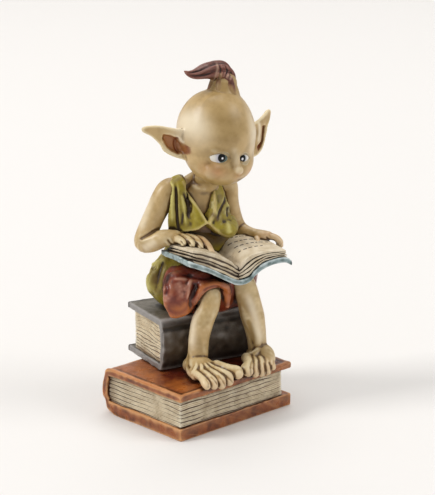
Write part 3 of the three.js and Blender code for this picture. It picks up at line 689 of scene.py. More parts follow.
def ear(side):
    # a leaf with a round thick rim: z = middle + half·cos a, and out of its plane thick·|sin a|^0.6;
    # the bowl sinks into the front, and the back swells behind it
    shape = ears[side]
    rows = spline(shape["rows"], evenRun(shape["rows"], 0.22))
    a = np.linspace(0, 2 * pi, 110, endpoint=False)[None]
    x = rows[:, :1] + 0 * a
    b = np.cos(a)
    z = (rows[:, 1:2] + rows[:, 2:3]) / 2 + (rows[:, 1:2] - rows[:, 2:3]) / 2 * b
    wide = (rows[:, 1:2] - rows[:, 2:3]) / 2
    thick = (0.55 + 0.5 * ease(wide, 0.4, 3.5)) * np.abs(np.sin(a)) ** 0.6
    inside, groove = bowlDepth(side, x, z)
    front = thick - shape["deep"] * ease(inside, 0.0, 0.9) - 0.8 * groove
    back = -thick - shape["deep"] * 0.8 * ease(inside, -1.2, 1.6)
    cup = 0.9 * b**2 * ease(wide, 1.0, 4.0)
    lift = np.where(np.sin(a) > 0, front, back) + cup
    length = np.hypot(1, shape["slope"])
    y = shape["root"][1] + shape["slope"] * (x - shape["root"][0]) - lift / length
    return tube(np.stack([x + shape["slope"] / length * lift, y, z], axis=-1))


# Eyes: each a flattened ball set in an almond opening, with iris, pupil and a dab of light painted on

eyes = {
    "aside": {-1: 5.6, 1: 4.9}, "forward": {-1: 8.05, 1: 9.1}, "slant": {-1: 17.5, 1: 5.0},
    "wide": {-1: 3.75, 1: 3.0}, "height": 57.95, "halves": (3.95, 2.2, 2.7), "high": 1.75, "low": 1.85,
    "lid": 0.11,
    "sight": {  # picture places of the iris, pupil and dab
        -1: ((223.6, 158.4), (221.9, 158.0), (222.5, 158.4)),
        1: ((242.4, 158.8), (242.1, 158.7), (242.6, 159.0)),
    },
    "sizes": {-1: (1.95, 1.52, 0.38), 1: (1.75, 1.62, 0.44)},
}


def eyeFrame(side):
    # middle of the ball, and its axes: across to the figure's left, outwards, upwards
    slant = radians(eyes["slant"][side])
    out, across = (side * sin(slant), cos(slant)), (cos(slant), -side * sin(slant))
    deep = eyes["halves"][1]
    aside, forward = side * eyes["aside"][side], eyes["forward"][side]
    middle = faceSpot(aside - out[0] * deep, forward - out[1] * deep, eyes["height"])
    none = faceSpot(0, 0, 0)
    first = unitRows(faceSpot(*across, 0) - none)
    second = faceSpot(*out, 0) - none
    second = unitRows(second - first * (second @ first))
    third = np.cross(first, second)
    return middle, np.array([first, second, third * np.sign(third[2])])


def almond(local, side):
    # distance inside the opening's edge: half height·(1 - t²)^0.62, t from -1 at the inner corner to 1,
    # and a higher power, so a sharper corner, towards the outer one
    along = side * local[:, 0] / eyes["wide"][side]
    t = along + 0.2 * (1 - along**2)
    arch = np.clip(1 - t**2, 0, 1) ** (0.62 + 0.35 * np.clip(t, 0, 1))
    gap = np.where(local[:, 2] > 0, eyes["high"] * arch - local[:, 2], eyes["low"] * arch + local[:, 2])
    return np.where(np.abs(along) < 1, gap, -3.3 * (np.abs(along) - 1) - np.abs(local[:, 2]))


def openEyes(points):
    # inside the almond the skin sinks below the ball, around it the lids stand a little off the ball
    for side in (-1, 1):
        middle, axes = eyeFrame(side)
        local = (points - middle) @ axes.T
        front = (local[:, 1] > -0.6) & (np.abs(local[:, 0]) < 6) & (np.abs(local[:, 2]) < 5)
        gap = almond(local, side)
        unit = local / eyes["halves"]
        reach = np.linalg.norm(unit, axis=1)
        lids = np.maximum(reach, 1 + eyes["lid"] * ease(gap, -1.7, -0.1))
        share = ease(gap, -0.06, 0.12)
        target = lids * (1 - share) + np.minimum(reach, 0.8) * share
        changed = middle + (unit * (target / np.maximum(reach, 1e-6))[:, None] * eyes["halves"]) @ axes
        points = np.where(front[:, None], changed, points)
    return points


def buildHead():
    # a stacked skull fused with two ears, the tuft's root, and ellipsoids for nose, lips, chin, cheeks
    # and brows; then the mouth's groove and the eyes' openings
    skull = stacked(skullStations, turn=radians(head["yaw"]))
    tuftRoot = limb([[5.8, 4.8, 75.0, 8.2], [6.8, 5.0, 79.2, 6.1], [7.2, 5.1, 82.2, 4.7]], around=40)
    swellings = [blob(faceSpot(*values[:3]), values[3:], radians(face["yaw"])) for values in skullBlobs]
    mesh = fused("head", [skull, ear(-1), ear(1), tuftRoot] + swellings)
    carve(mesh, [(0.40, 0.45, headLines["mouth"]), (-0.30, 0.60, headLines["left ear's rim"])])
    setPoints(mesh, fromFigure(openEyes(toFigure(pointsOf(mesh)))))

    # the swellings melt into the skull in front, and so do the ears' roots; lids and nose stay sharp
    points = toFigure(pointsOf(mesh))
    aside, forward, height = inFace(points)
    edge = np.full(len(points), -9.0)
    for side in (-1, 1):
        middle, axes = eyeFrame(side)
        edge = np.maximum(edge, almond((points - middle) @ axes.T, side))
    nose = np.exp(-(aside**2 / 6 + (height - 53.6) ** 2 / 5)) * (forward > 8)
    share = 0.85 * ease(forward, 0.5, 3.5) * ease(-edge, 0.25, 0.6) * (1 - 0.5 * nose) * (np.abs(aside) < 12)
    seam = 1 - ease(np.abs(np.abs(points[:, 0] - head["middle"]) - 13.2), 0.8, 2.0)
    seam = seam * ease(points[:, 2], 56, 60)
    soften(mesh, np.clip(share + seam * (forward < 4), 0, 1), 22)
    roughen(mesh, {6.0: 0.10, 1.6: 0.03}, 3)

    # tints: pink blush, painted highlights and painted shade
    points = toFigure(pointsOf(mesh))
    aside, forward, height = inFace(points)
    masks = {key: np.zeros(len(points)) for key in ("blush", "light", "oliveShade", "bowl", "deep")}
    for key, strength, middleAside, middleHeight, spreadAside, spreadHeight, least in faceTints:
        away = (aside - middleAside) ** 2 / spreadAside + (height - middleHeight) ** 2 / spreadHeight
        masks[key] += strength * np.exp(-away) * (forward > least)
    # painted shade under the chin, and darker on the crown
    masks["oliveShade"] += 0.9 * hump(height, 48.0, 2.0) + 0.5 * ease(height, 77, 81)
    # painted shade beside the nose, under the brows and under the eyes; painted highlights along the nose's bridge
    # and on its tip
    for key, strength, width, names in (
            ("oliveShade", 0.6, 1.0, ("beside nose", "under brow", "under eye")),
            ("light", 0.35, 1.3, ("nose's bridge", "nose's tip"))):
        masks[key] += strength * drawnOn(mesh, [headLines[name] for name in names], width)
    masks["line"] = 0.9 * drawnOn(mesh, [headLines["mouth inked"]], 0.32)
    calm = np.exp(-(aside**2 / 7 + (height - 57.0) ** 2 / 20)) * (forward > 5)
    for side in (-1, 1):
        # a dark lash line round the eye, and painted shade round its opening; the wash is kept off near it
        middle, axes = eyeFrame(side)
        local = (points - middle) @ axes.T
        gap = almond(local, side)
        front = (local[:, 1] > 0) & (np.abs(local[:, 0]) < 6)
        lash = front * hump(gap, -0.1, 0.26) * np.where(local[:, 2] > 0, 0.6, 0.3)
        masks["line"] = np.maximum(masks["line"], lash)
        masks["oliveShade"] = np.maximum(masks["oliveShade"], front * 0.5 * hump(np.minimum(gap, 0), 0, 0.9))
        calm = np.maximum(calm, front * ease(gap, -2.4, -1.0))
        # painted shade in the ear's bowl, darker in its grooves
        shape = ears[side]
        inside, groove = bowlDepth(side, points[:, 0], points[:, 2])
        plane = shape["root"][1] + shape["slope"] * (points[:, 0] - shape["root"][0])
        beyond = ease(side * points[:, 0], *shape["clear"]) * (plane - points[:, 1] > -1.9)
        bowl = ease(inside + 0.3 * noise(points, 1.2, 9), -0.3, 1.3) * beyond
        masks["bowl"] = np.maximum(masks["bowl"], bowl)
        masks["deep"] = np.maximum(masks["deep"], groove * beyond)
    # the bowls' painted shade deepens towards the right ear's root, less on its lobe, and a little over the left
    # ear's bowl
    bowl = masks["bowl"]
    deep = np.maximum(masks["deep"], 0.7 * ease(points[:, 0], -16.5, -10.8) * bowl * (points[:, 0] < 0))
    lobe = hump(points[:, 0], -10.7, 0.6) * hump(points[:, 2], 61.0, 1.4)
    masks["deep"] = deep * (1 - 0.7 * lobe) + 0.3 * bowl * (points[:, 0] > 18)
    # painted shade behind the right ear; painted highlights on both ears' rims
    masks["oliveShade"] += 0.7 * drawnOn(mesh, [headLines["behind right ear"]], 1.8)
    masks["light"] += 0.9 * drawnOn(mesh, [headLines["left ear lit"], headLines["right ear lit"]], 0.5)
    masks = {key: np.clip(mask, 0, 1) for key, mask in masks.items()}
    return finished(mesh, skinPaint, masks, calm=calm)


buildHead()


def onBall(place, middle, axes):
    # where the line of sight through a picture place first meets the ball
    back, right, up = viewAxes()
    wide, high = viewer["picture"]
    focal = viewer["lens"] / viewer["sensor"] * high
    start = np.array(viewer["aim"]) + back * viewer["distance"]
    sight = -back + right * (place[0] - wide / 2) / focal - up * (place[1] - high / 2) / focal
    first = (toFigure(start) - middle) @ axes.T / eyes["halves"]
    step = (toFigure(start + sight) - toFigure(start)) @ axes.T / eyes["halves"]
    a, b, c = step @ step, 2 * first @ step, first @ first - 1
    return start + sight * (-b - max(b * b - 4 * a * c, 0) ** 0.5) / (2 * a)


def eyePaint(side, middle, axes):
    # white, iris, pupil and dab, each by the distance from the place where its line of sight
    # meets the ball
    paint = Paint(f"eye {'left' if side > 0 else 'right'}")
    reaches = []
    for place in eyes["sight"][side]:
        away = paint.node("ShaderNodeVectorMath", {"operation": "SUBTRACT"},
                          {0: paint.place, 1: onBall(place, middle, axes) * millimetre})
        reaches.append(paint.node("ShaderNodeVectorMath", {"operation": "LENGTH"}, {0: away}, output=1) / millimetre)
    (iris, pupil, dab), (irisSize, pupilSize, dabSize) = reaches, eyes["sizes"][side]
    hue = paint.mix(pupil.between(1.2, 3.2), (190, 190, 202), (238, 234, 224))
    hue = paint.mix(iris.between(irisSize - 0.3, irisSize + 0.15), (96, 112, 108), hue)
    hue = paint.mix(pupil.between(pupilSize - 0.15, pupilSize + 0.1), (4, 4, 6), hue)
    hue = paint.mix(dab.between(dabSize - 0.16, dabSize + 0.16), (244, 244, 248), hue)
    return paint.coat(hue, 0.3, specular=0.25)


def buildEyes():
    # each ball is a unit ball times its half sizes, along its own axes
    for side in (-1, 1):
        middle, axes = eyeFrame(side)
        ball = blob((0, 0, 0), (1, 1, 1), around=72)
        ball = moved(ball, lambda points: fromFigure(middle + (points * eyes["halves"]) @ axes))
        finished(meshOf(f"eye_{'left' if side > 0 else 'right'}", *ball), eyePaint(side, middle, axes))


buildEyes()


# Hair: locks twisted up into one curl

hairLook = {
    "base": (112, 54, 38), "mottle": (78, 34, 24), "pale": (178, 132, 118), "dark": (34, 14, 10),
    "brush": 1.1, "brushMost": 0.55, "wash": 1.1, "contactShade": 0.0, "grain": 1.6, "roughness": 0.34, "bump": 0.06,
    "top": [("root", (168, 138, 92), 0.9), ("streak", (190, 156, 132), 0.85), ("lilac", (186, 154, 148), 0.85)],
}
curl = [[6.2, 4.6, 75.6, 6.0], [6.9, 5.0, 80.6, 5.4], [7.6, 5.2, 84.2, 4.3], [6.2, 5.3, 86.4, 3.8],
        [2.4, 5.4, 87.2, 3.0], [-1.2, 5.4, 87.0, 2.6], [-4.6, 5.3, 86.6, 1.8], [-7.0, 5.2, 87.1, 1.0],
        [-8.5, 5.0, 87.9, 0.4]]
hairLocks = {"count": 11, "twist": 1.9, "reach": 0.72, "thick": 0.30, "core": 0.78}
hairGrooves = [
    (0.35, 0.35, [(219.0, 64.0), (220.5, 70.0), (218.5, 80.0)]),
    (0.30, 0.30, [(225.0, 65.0), (227.0, 71.0), (224.0, 80.0)]),
    (0.35, 0.30, [(231.0, 71.0), (230.0, 77.0), (227.0, 84.0)]),
    (0.20, 0.28, [(189.0, 73.0), (200.0, 70.5), (212.0, 66.5)]),
    (0.20, 0.28, [(190.0, 75.0), (201.0, 75.5), (212.5, 73.0)]),
]
hairLines = {  # places in the picture
    "root": [[(220.5, 72.0), (219.5, 86.0)]],
    "streak": [[(216.0, 62.0), (217.6, 68.0), (215.6, 76.0), (213.8, 85.0)], [(229.0, 74.5), (226.0, 77.5)],
               [(232.0, 74.0), (229.6, 80.0)]],
    "lilac": [[(233.0, 75.0), (236.8, 82.0), (237.6, 96.0)], [(209.0, 64.5), (203.0, 66.5), (196.0, 70.0)]],
}


def lockOf(k, run, rows, side, other):
    # a limb that winds round the curl: its angle is its share of the turn plus the twist times the run
    angle = 2 * pi * k / hairLocks["count"] + hairLocks["twist"] * run + 0.35 * sin(3 * k)
    reach = rows[:, 3] * (hairLocks["reach"] + 0.06 * sin(2.0 * k))
    path = rows[:, :3] + side * (np.cos(angle) * reach)[:, None] + other * (np.sin(angle) * reach)[:, None]
    thick = rows[:, 3] * (hairLocks["thick"] + 0.06 * cos(1.7 * k))
    return limb(np.column_stack([path, thick])[::3], around=16, spacing=0.4)


def buildHair():
    # locks wound round a curl that thins out to its tip, fused with a core inside them
    run = np.linspace(0, 1, 48)
    rows = spline(curl, run)
    tangent = unitRows(np.gradient(rows[:, :3], axis=0))
    side = unitRows(np.cross(tangent, (0.0, 1.0, 0.0)))
    other = np.cross(side, tangent)
    shells = [lockOf(k, run, rows, side, other) for k in range(hairLocks["count"])]
    shells.append(limb([[x, y, z, r * hairLocks["core"]] for x, y, z, r in curl], around=24))
    mesh = fused("hair", shells)
    carve(mesh, hairGrooves)
    points = toFigure(pointsOf(mesh))
    soften(mesh, 1 - ease(points[:, 2], 82.5, 86.0), 40)
    edge = 84.0 - 0.62 * np.clip(points[:, 0] - 4.0, 0, 12) + noise(points * (1, 1, 0.3), 0.9, 5)
    root = (1 - ease(points[:, 2] - edge, -1.8, 1.8)) * ease(points[:, 0], 0.4, 2.6)
    root = np.maximum(root, 0.55 * drawnOn(mesh, hairLines["root"], 0.9))
    streak = drawnOn(mesh, hairLines["streak"], 0.42) * (0.75 + 0.25 * noise(points, 0.8, 6))
    lilac = drawnOn(mesh, hairLines["lilac"], 0.40) * (0.7 + 0.3 * noise(points, 0.8, 7))
    masks = {"root": root, "streak": streak, "lilac": lilac}
    return finished(mesh, castPaint("hair", hairLook), masks, creaseScale=9.0, calm=0.85 * root)


buildHair()


# Arms and hands

arms = {  # stations of each arm, palm and finger, and the side of the arm that is its width's front
    "right": {
        "facing": (-0.3, -1, 0.6),
        "arm": [[-8.0, 13.6, 44.4, 4.0], [-10.8, 13.8, 43.6, 4.3], [-15.2, 14.2, 36.6, 4.0], [-18.9, 14.8, 29.0, 3.8],
                [-20.4, 14.2, 25.6, 3.7], [-18.8, 11.2, 26.0, 3.5], [-15.4, 7.8, 28.0, 3.1], [-12.0, 6.4, 28.0, 2.8]],
        "palm": [[-12.8, 8.0, 28.0, 2.7, 2.5], [-10.4, 6.6, 27.8, 3.7, 2.1], [-8.7, 4.8, 27.3, 4.4, 1.5]],
        "fingers": [
            [[-5.4, 6.4, 27.0, 1.8], [-3.6, 2.6, 26.8, 1.75], [-3.1, -1.8, 25.5, 1.5], [-3.6, -5.4, 24.5, 1.15]],
            [[-7.8, 5.4, 27.8, 1.7], [-6.6, 2.0, 27.6, 1.65], [-6.3, -1.2, 26.6, 1.4], [-7.0, -3.6, 25.9, 1.1]],
            [[-10.2, 4.6, 28.2, 1.6], [-9.4, 1.8, 28.0, 1.5], [-9.1, -0.8, 27.3, 1.3], [-9.8, -2.6, 26.8, 1.0]],
            [[-12.4, 4.0, 28.2, 1.45], [-12.0, 1.8, 28.0, 1.3], [-11.9, 0.2, 27.6, 1.15], [-12.4, -1.0, 27.3, 0.9]],
        ],
    },
    "left": {
        "facing": (0.3, -1, 0.6),
        "arm": [[10.5, 13.6, 44.4, 4.0], [12.8, 13.8, 43.2, 4.2], [14.4, 14.4, 36.0, 3.9], [17.0, 15.0, 28.6, 3.6],
                [18.8, 14.6, 25.6, 3.4], [19.6, 11.6, 24.8, 3.0], [20.4, 8.6, 24.6, 2.7], [21.2, 6.6, 24.6, 2.5]],
        "palm": [[21.4, 7.2, 24.6, 2.5, 2.3], [22.6, 4.6, 24.8, 3.1, 2.1], [24.4, 2.8, 24.8, 2.9, 1.8]],
        "fingers": [
            [[21.0, 4.6, 24.6, 1.2], [19.6, 2.4, 24.2, 1.1], [19.0, 0.8, 23.6, 1.0]],
            [[23.8, 2.2, 25.0, 1.3], [25.4, -0.2, 24.8, 1.15], [27.0, -1.8, 23.2, 1.0], [27.2, -2.2, 22.0, 0.85]],
            [[25.0, 3.2, 24.8, 1.3], [27.2, 1.2, 24.2, 1.15], [28.4, 0.2, 22.6, 1.0], [28.2, 0.0, 21.4, 0.85]],
            [[25.4, 4.8, 24.4, 1.3], [28.0, 3.4, 23.6, 1.15], [28.9, 2.6, 22.0, 1.0], [28.6, 2.4, 21.0, 0.85]],
        ],
    },
}
armLines = {  # places in the picture
    "right gaps": [[(203.5, 251.0), (198.0, 244.0), (192.0, 240.0)], [(194.0, 249.0), (190.5, 244.0), (186.0, 240.0)],
                   [(186.0, 247.5), (183.5, 244.0), (180.0, 240.5)]],
    "left gaps": [[(266.0, 236.0), (268.5, 240.5), (272.5, 243.0)], [(259.0, 242.6), (263.0, 244.0), (267.5, 241.5)]],
    "knuckles": [(189.0, 240.5), (194.0, 241.5), (201.0, 244.0)],
    "wrist": [(167.0, 239.0), (170.5, 243.5), (175.0, 246.0)],
    "elbow": [(139.0, 239.5), (147.0, 236.0), (158.0, 229.5)],
    "lit": [[(150.0, 192.0), (145.0, 212.0), (140.0, 232.0)], [(143.0, 250.0), (156.0, 240.0)]],
}


def buildArms():
    # limbs along arms, palms and fingers, fused; grooves between the fingers, at wrist and elbow
    shells = [limb(arm["arm"], arm["facing"]) for arm in arms.values()]
    shells += [limb(arm["palm"], (0, 0, 1)) for arm in arms.values()]
    shells += [limb(finger, around=18, spacing=0.35) for arm in arms.values() for finger in arm["fingers"]]
    mesh = fused("arms", shells)
    rightGaps, leftGaps = armLines["right gaps"], armLines["left gaps"]
    # the gaps between the fingers painted dark: wash deepened as painted shade
    line = 0.6 * drawnOn(mesh, rightGaps + leftGaps, 0.24)
    carve(mesh, [(0.45, 0.4, leftGaps[0])] + [(0.2, 0.3, gap) for gap in rightGaps] + [
        (-0.3, 0.5, armLines["knuckles"]), (0.40, 0.45, armLines["wrist"]), (0.30, 0.60, armLines["elbow"])])
    roughen(mesh, {5.0: 0.10, 1.2: 0.03}, 11)
    points = toFigure(pointsOf(mesh))
    fingers = np.where(points[:, 0] < 4, ease(points[:, 0], -9, -3), 1 - ease(points[:, 1], 1, 5))
    # painted shade in the armpits; painted highlights along the arms' lit sides
    armpits = hump(points[:, 0], -11.5, 2.6) + hump(points[:, 0], 11.0, 2.6)
    masks = {"blush": fingers * (points[:, 2] < 29) * 0.45, "oliveShade": 0.8 * armpits * ease(points[:, 2], 28, 33),
             "light": 0.7 * drawnOn(mesh, armLines["lit"], 1.6), "line": line}
    return finished(mesh, skinPaint, masks, creaseScale=8.0)


buildArms()


# Chest and neck

chest = {
    "torso": [[14.0, 0.3, 0.3, 0.3, 2.0, 14.0], [15.0, 10.0, 7.0, 7.4, 2.0, 14.0], [26.0, 9.4, 8.0, 5.2, 2.0, 13.6],
              [36.0, 9.8, 7.6, 5.4, 2.0, 13.4], [42.0, 9.0, 6.4, 5.0, 2.0, 13.0], [46.0, 4.6, 4.6, 4.4, 2.2, 11.6],
              [46.6, 0.3, 0.3, 0.3, 2.2, 11.6]],
    "neck": [[2.2, 12.0, 42.0, 5.2, 4.8], [2.6, 9.6, 47.0, 4.6, 4.4], [3.2, 6.0, 52.0, 5.0, 4.8]],
    "nape": [[1.0, 13.0, 47.2, 3.2], [-2.0, 13.3, 46.6, 2.4], [-5.0, 13.2, 45.6, 2.1], [-7.6, 13.2, 44.6, 1.8]],
    "collarbone": [(189.0, 183.5), (198.0, 187.5), (208.0, 190.0)],  # places in the picture
}


def buildChest():
    # a stacked torso fused with limbs for the neck and the nape
    mesh = fused("chest", [stacked(chest["torso"]), limb(chest["neck"], (0, 1, 0)), limb(chest["nape"])])
    carve(mesh, [(-0.35, 1.0, chest["collarbone"])])
    roughen(mesh, {5.0: 0.10}, 21)
    height = toFigure(pointsOf(mesh))[:, 2]
    # painted shade under the chin, and low on the chest under the tunic, darkest low down
    low = 1 - ease(height, 33, 39)
    underChin = 0.9 * ease(height, 43.5, 47)
    masks = {"oliveShade": np.clip(underChin + 0.5 * low, 0, 1), "bowl": 0.5 * low,
             "line": 0.9 * (1 - ease(height, 28, 33))}
    return finished(mesh, skinPaint, masks)


buildChest()


# Legs and feet, with tendons and toes

feet = {"ground": -19.2, "overhang": 0.8, "baseFront": -20.8}
legs = {  # stations of each leg; the foot's ankle and ball (x, y); toes [root x, root y, tip x, drop, half width]
    "right": {
        "leg": [[-4.6, 12.0, 7.0, 6.4, 6.0], [-4.4, 3.0, 9.0, 5.4, 5.0], [-3.8, -3.8, 10.0, 4.1, 4.1],
                [-5.0, -5.8, 4.6, 3.9, 4.0], [-7.4, -6.2, 0.0, 4.0, 4.0], [-9.2, -6.4, -6.4, 3.6, 3.8],
                [-9.8, -6.6, -12.6, 3.5, 3.7], [-10.4, -6.8, -15.8, 4.3, 4.4]],
        "ankle": (-10.8, -6.8), "ball": (-10.6, -16.4),
        "toes": [[-5.6, -14.6, -1.0, 0.0, 2.3], [-8.2, -17.0, -5.2, 1.4, 1.9], [-10.6, -17.4, -8.8, 1.8, 1.85],
                 [-13.0, -17.2, -12.3, 1.0, 1.75], [-15.2, -16.0, -15.6, 0.2, 1.6]],
    },
    "left": {
        "leg": [[8.0, 12.0, 7.0, 6.4, 6.0], [9.2, 3.0, 9.6, 5.6, 5.4], [9.8, -4.0, 11.2, 4.3, 4.3],
                [11.2, -5.8, 5.4, 4.4, 4.3], [12.8, -6.2, -1.0, 4.5, 4.3], [14.2, -6.4, -7.4, 3.7, 3.8],
                [14.8, -6.6, -12.6, 3.3, 3.5], [15.2, -6.8, -15.8, 3.9, 4.0]],
        "ankle": (15.6, -6.8), "ball": (12.6, -12.4),
        "toes": [[8.0, -12.2, 3.8, 0.2, 2.2], [10.2, -13.0, 7.3, 1.4, 1.75], [12.6, -12.8, 10.4, 2.0, 1.7],
                 [14.8, -12.2, 13.3, 2.0, 1.65], [16.6, -11.0, 15.8, 0.8, 1.5]],
    },
}
outerFoot = [[-12.6, -7.0, -16.4, 2.2], [-14.4, -11.0, -17.0, 1.9], [-15.2, -15.0, -17.4, 1.5]]
leftShin = [[8.6, -6.6, 6.0, 1.6], [10.6, -7.4, 0.0, 2.6], [12.8, -7.8, -6.0, 2.6], [14.0, -8.0, -12.0, 2.0]]
legLines = {  # places in the picture
    "toe gaps": [[(234.5, 384.0), (228.0, 377.5), (221.0, 372.5)], [(227.0, 389.0), (222.5, 380.0), (217.0, 374.5)],
                 [(219.5, 387.0), (214.5, 380.0), (210.0, 375.5)], [(208.5, 388.5), (208.5, 383.0), (205.0, 378.0)],
                 [(251.5, 377.5), (250.5, 367.0), (252.0, 360.0)], [(259.0, 376.0), (258.6, 366.0), (258.0, 360.0)],
                 [(264.6, 379.0), (265.2, 368.0), (263.5, 361.0)], [(271.6, 376.0), (270.6, 366.0), (268.5, 361.0)]],
    "heel": [(188.5, 352.0), (187.5, 364.0), (190.0, 369.0)],
    "left calf": [(247.0, 318.0), (251.0, 334.0), (253.5, 348.0)],
    "oliveShade": [[(188.0, 352.0), (187.5, 366.0), (190.5, 370.0)], [(251.0, 320.0), (254.0, 345.0)],
              [(245.0, 360.0), (243.0, 372.0)]],
    "lit": [[(200.0, 290.0), (193.0, 320.0), (192.0, 352.0)], [(246.0, 290.0), (256.0, 320.0), (262.0, 345.0)]],
}


def frontEdge(x):
    # where the lower book's front edge runs, from the seat's front edge
    turn = radians(sitting["turn"])
    return (feet["baseFront"] - sitting["shiftY"] - sin(turn) * x) / cos(turn) + sitting["depth"] / 2


def footShells(foot):
    # the instep, and for each toe a limb that hangs over the book's edge and a tendon from the ankle
    ground = feet["ground"]
    (ankleX, ankleY), (ballX, ballY) = foot["ankle"], foot["ball"]
    shells = [limb([
        [ankleX - 0.4, ankleY + 2.4, ground + 2.5, 3.4, 3.0], [ankleX, ankleY - 1.6, ground + 3.4, 4.4, 3.8],
        [(ankleX + ballX) / 2, (ankleY + ballY) / 2 - 0.8, ground + 2.7, 5.6, 3.1],
        [ballX, ballY + 1.2, ground + 1.8, 6.2, 2.0]], (0, 0, 1), around=40)]
    for baseX, baseY, tipX, drop, half in foot["toes"]:
        edge = frontEdge(tipX) - feet["overhang"]
        lift = ground + half + 0.2
        shells.append(limb([
            [baseX, baseY + 1.6, lift + 1.2, half * 0.9],
            [(baseX + tipX) / 2, (baseY + edge) / 2, lift + 0.9, half * 0.8],
            [tipX, edge + 1.0, lift - drop * 0.35, half * 0.98], [tipX, edge, lift - 0.4 - drop, half * 0.84]],
            around=20, spacing=0.35))
        shells.append(limb([
            [ankleX + (baseX - ankleX) * 0.35, ankleY - 3.2, ground + 6.0, 0.7],
            [(ankleX + baseX * 2) / 3, (ankleY + baseY * 2) / 3, ground + 4.9, 0.75],
            [baseX, baseY + 1.6, ground + half + 2.4, 0.8]], around=14))
    return shells


def buildLegs():
    # limbs along the legs and feet, fused; grooves between the toes, at heel and calf
    shells = [limb(leg["leg"], (1, 0, 0), around=40) for leg in legs.values()]
    shells += footShells(legs["right"]) + footShells(legs["left"]) + [limb(outerFoot), limb(leftShin)]
    mesh = fused("legs", shells)
    gaps = legLines["toe gaps"]
    # the gaps between the toes painted dark, wash deepened as painted shade; painted shade at heel, calf and ankle
    line = 0.55 * drawnOn(mesh, [gap[:2] for gap in gaps], 0.26)
    oliveShade = 0.8 * drawnOn(mesh, legLines["oliveShade"], 1.0)
    carve(mesh, [(0.22, 0.45, gap) for gap in gaps] + [
        (0.30, 0.60, legLines["heel"]), (0.3, 1.2, legLines["left calf"])])
    roughen(mesh, {5.0: 0.12, 1.2: 0.03}, 31)
    points = toFigure(pointsOf(mesh))
    toes = 1 - ease(points[:, 2], feet["ground"] + 1.0, feet["ground"] + 5.0)
    # painted shade over the backs of the legs under the skirt; painted highlights down both shins
    oliveShade = np.clip(oliveShade + 0.6 * ease(points[:, 1], -6.0, -3.0), 0, 1)
    light = 0.8 * drawnOn(mesh, legLines["lit"], 1.5)
    masks = {"blush": toes * 0.4, "oliveShade": oliveShade, "light": light, "line": line}
    return finished(mesh, skinPaint, masks, creaseScale=8.0)


buildLegs()


# Tunic: a loose bib, cut open in a V, that sags at the figure's left, and a lower part over the hips

# tunic paint: the rim and fold layers are painted highlights on the rolled edges and the folds' ridges, the shade
# layer is painted shade, and the line tone on top is wash deepened as painted shade in the creases
tunicLook = {
    "base": (160, 144, 36), "mottle": (132, 114, 24), "pale": (214, 204, 122), "dark": (48, 28, 8),
    "brush": 1.1, "brushMost": 0.75, "wash": 1.5, "washMost": 0.95, "contactShade": 1.3, "fleck": 0.25, "grain": 3.0,
    "roughness": 0.36, "bump": 0.06,
    "layers": [("rim", (212, 192, 130), 0.8), ("fold", (208, 198, 118), 0.75), ("shade", (92, 64, 20), 0.9)],
    "top": [("line", (52, 32, 8), 0.8)],
}
openings = {  # outline seen from the front, and how far back the cloth inside it goes
    "neck": ([(-8.6, 54), (-6.6, 46.6), (-5.0, 42.0), (-3.0, 37.4), (-1.7, 33.8), (0.6, 36.4), (4.0, 44.4),
              (6.6, 54)], 11.0),
    "hem": ([(-9.5, 24), (-8.4, 29.4), (-5.4, 31.0), (-1.9, 33.2), (0.8, 30.4), (3.2, 28.4), (5.6, 27.4),
             (7.0, 24)], 12.0),
}
collarHeight = 45.6  # above it the cloth inside the neck opening is pressed down
tunicCreases = [
    (0.80, 0.45, [(175.5, 184.0), (176.3, 195.0), (176.8, 210.0), (178.4, 231.0)]),
    (0.55, 0.60, [(183.0, 191.0), (186.0, 199.0), (188.5, 207.0), (188.0, 218.0)]),
    (0.40, 0.45, [(187.0, 199.0), (191.0, 205.0), (190.0, 214.0)]),
    (0.60, 0.45, [(226.4, 190.0), (225.6, 199.0), (221.0, 209.0), (217.0, 221.0)]),
    (0.70, 0.35, [(213.8, 185.0), (209.6, 193.0), (208.0, 200.0)]),
    (0.45, 0.25, [(227.6, 206.0), (227.0, 211.0), (227.4, 217.0)]),
]
hipFolds = [
    (0.90, 1.0, [(163.0, 258.0), (160.0, 268.0), (157.0, 280.0), (155.0, 294.0)]),
    (0.60, 0.8, [(146.0, 262.0), (151.0, 268.5), (158.0, 267.0)]),
    (-0.70, 0.9, [(150.0, 272.0), (148.5, 283.0), (152.0, 295.0)]),
    (-0.50, 0.6, [(150.5, 265.5), (158.0, 262.4), (164.5, 258.0)]),
]
tunicShades = {  # width: lines of brown painted shade, places in the picture
    1.5: [[(154.0, 266.0), (153.0, 276.0), (155.0, 286.0)]],
    2.4: [[(165.0, 262.0), (161.0, 272.0), (158.0, 284.0), (160.0, 300.0)]],
}
# painted shade below the knot, and a painted highlight down the hip
knotShade = [(210.0, 213.0), (216.0, 217.0), (219.0, 222.0)]
hipGlow = [(146.0, 272.0), (145.5, 284.0), (149.0, 298.0)]
tunicRidges = [
    (-0.40, 0.8, [(171.5, 184.0), (172.0, 204.0), (172.5, 224.0)]),
    (-0.45, 0.7, [(182.0, 194.0), (184.0, 206.0), (186.5, 226.0)]),
    (-0.35, 0.6, [(212.0, 200.0), (211.0, 210.0)]),
    (-0.45, 0.6, [(229.6, 190.0), (228.6, 204.0), (224.8, 216.0)]),
    (-0.50, 1.2, [(226.0, 220.0), (228.5, 228.0), (229.0, 234.0)]),
]


def cutBib(points):
    # the cloth inside an opening is pushed back behind the chest, and its edge is rolled forward
    for name, (outline, back) in openings.items():
        depth = insideOutline(points[:, [0, 2]], outline)
        front = points[:, 1] < 12.5
        sink = ease(depth, -0.05, 0.35) * front
        roll = hump(depth, -0.75, 0.55) * front * 0.45
        points = points.copy()
        points[:, 1] += sink * np.maximum(back - points[:, 1], 0) - roll
        over = np.maximum(points[:, 2] - collarHeight, 0) * ease(depth, -0.4, 0.4) * (name == "neck")
        points[:, 2] -= 0.9 * over
    return points


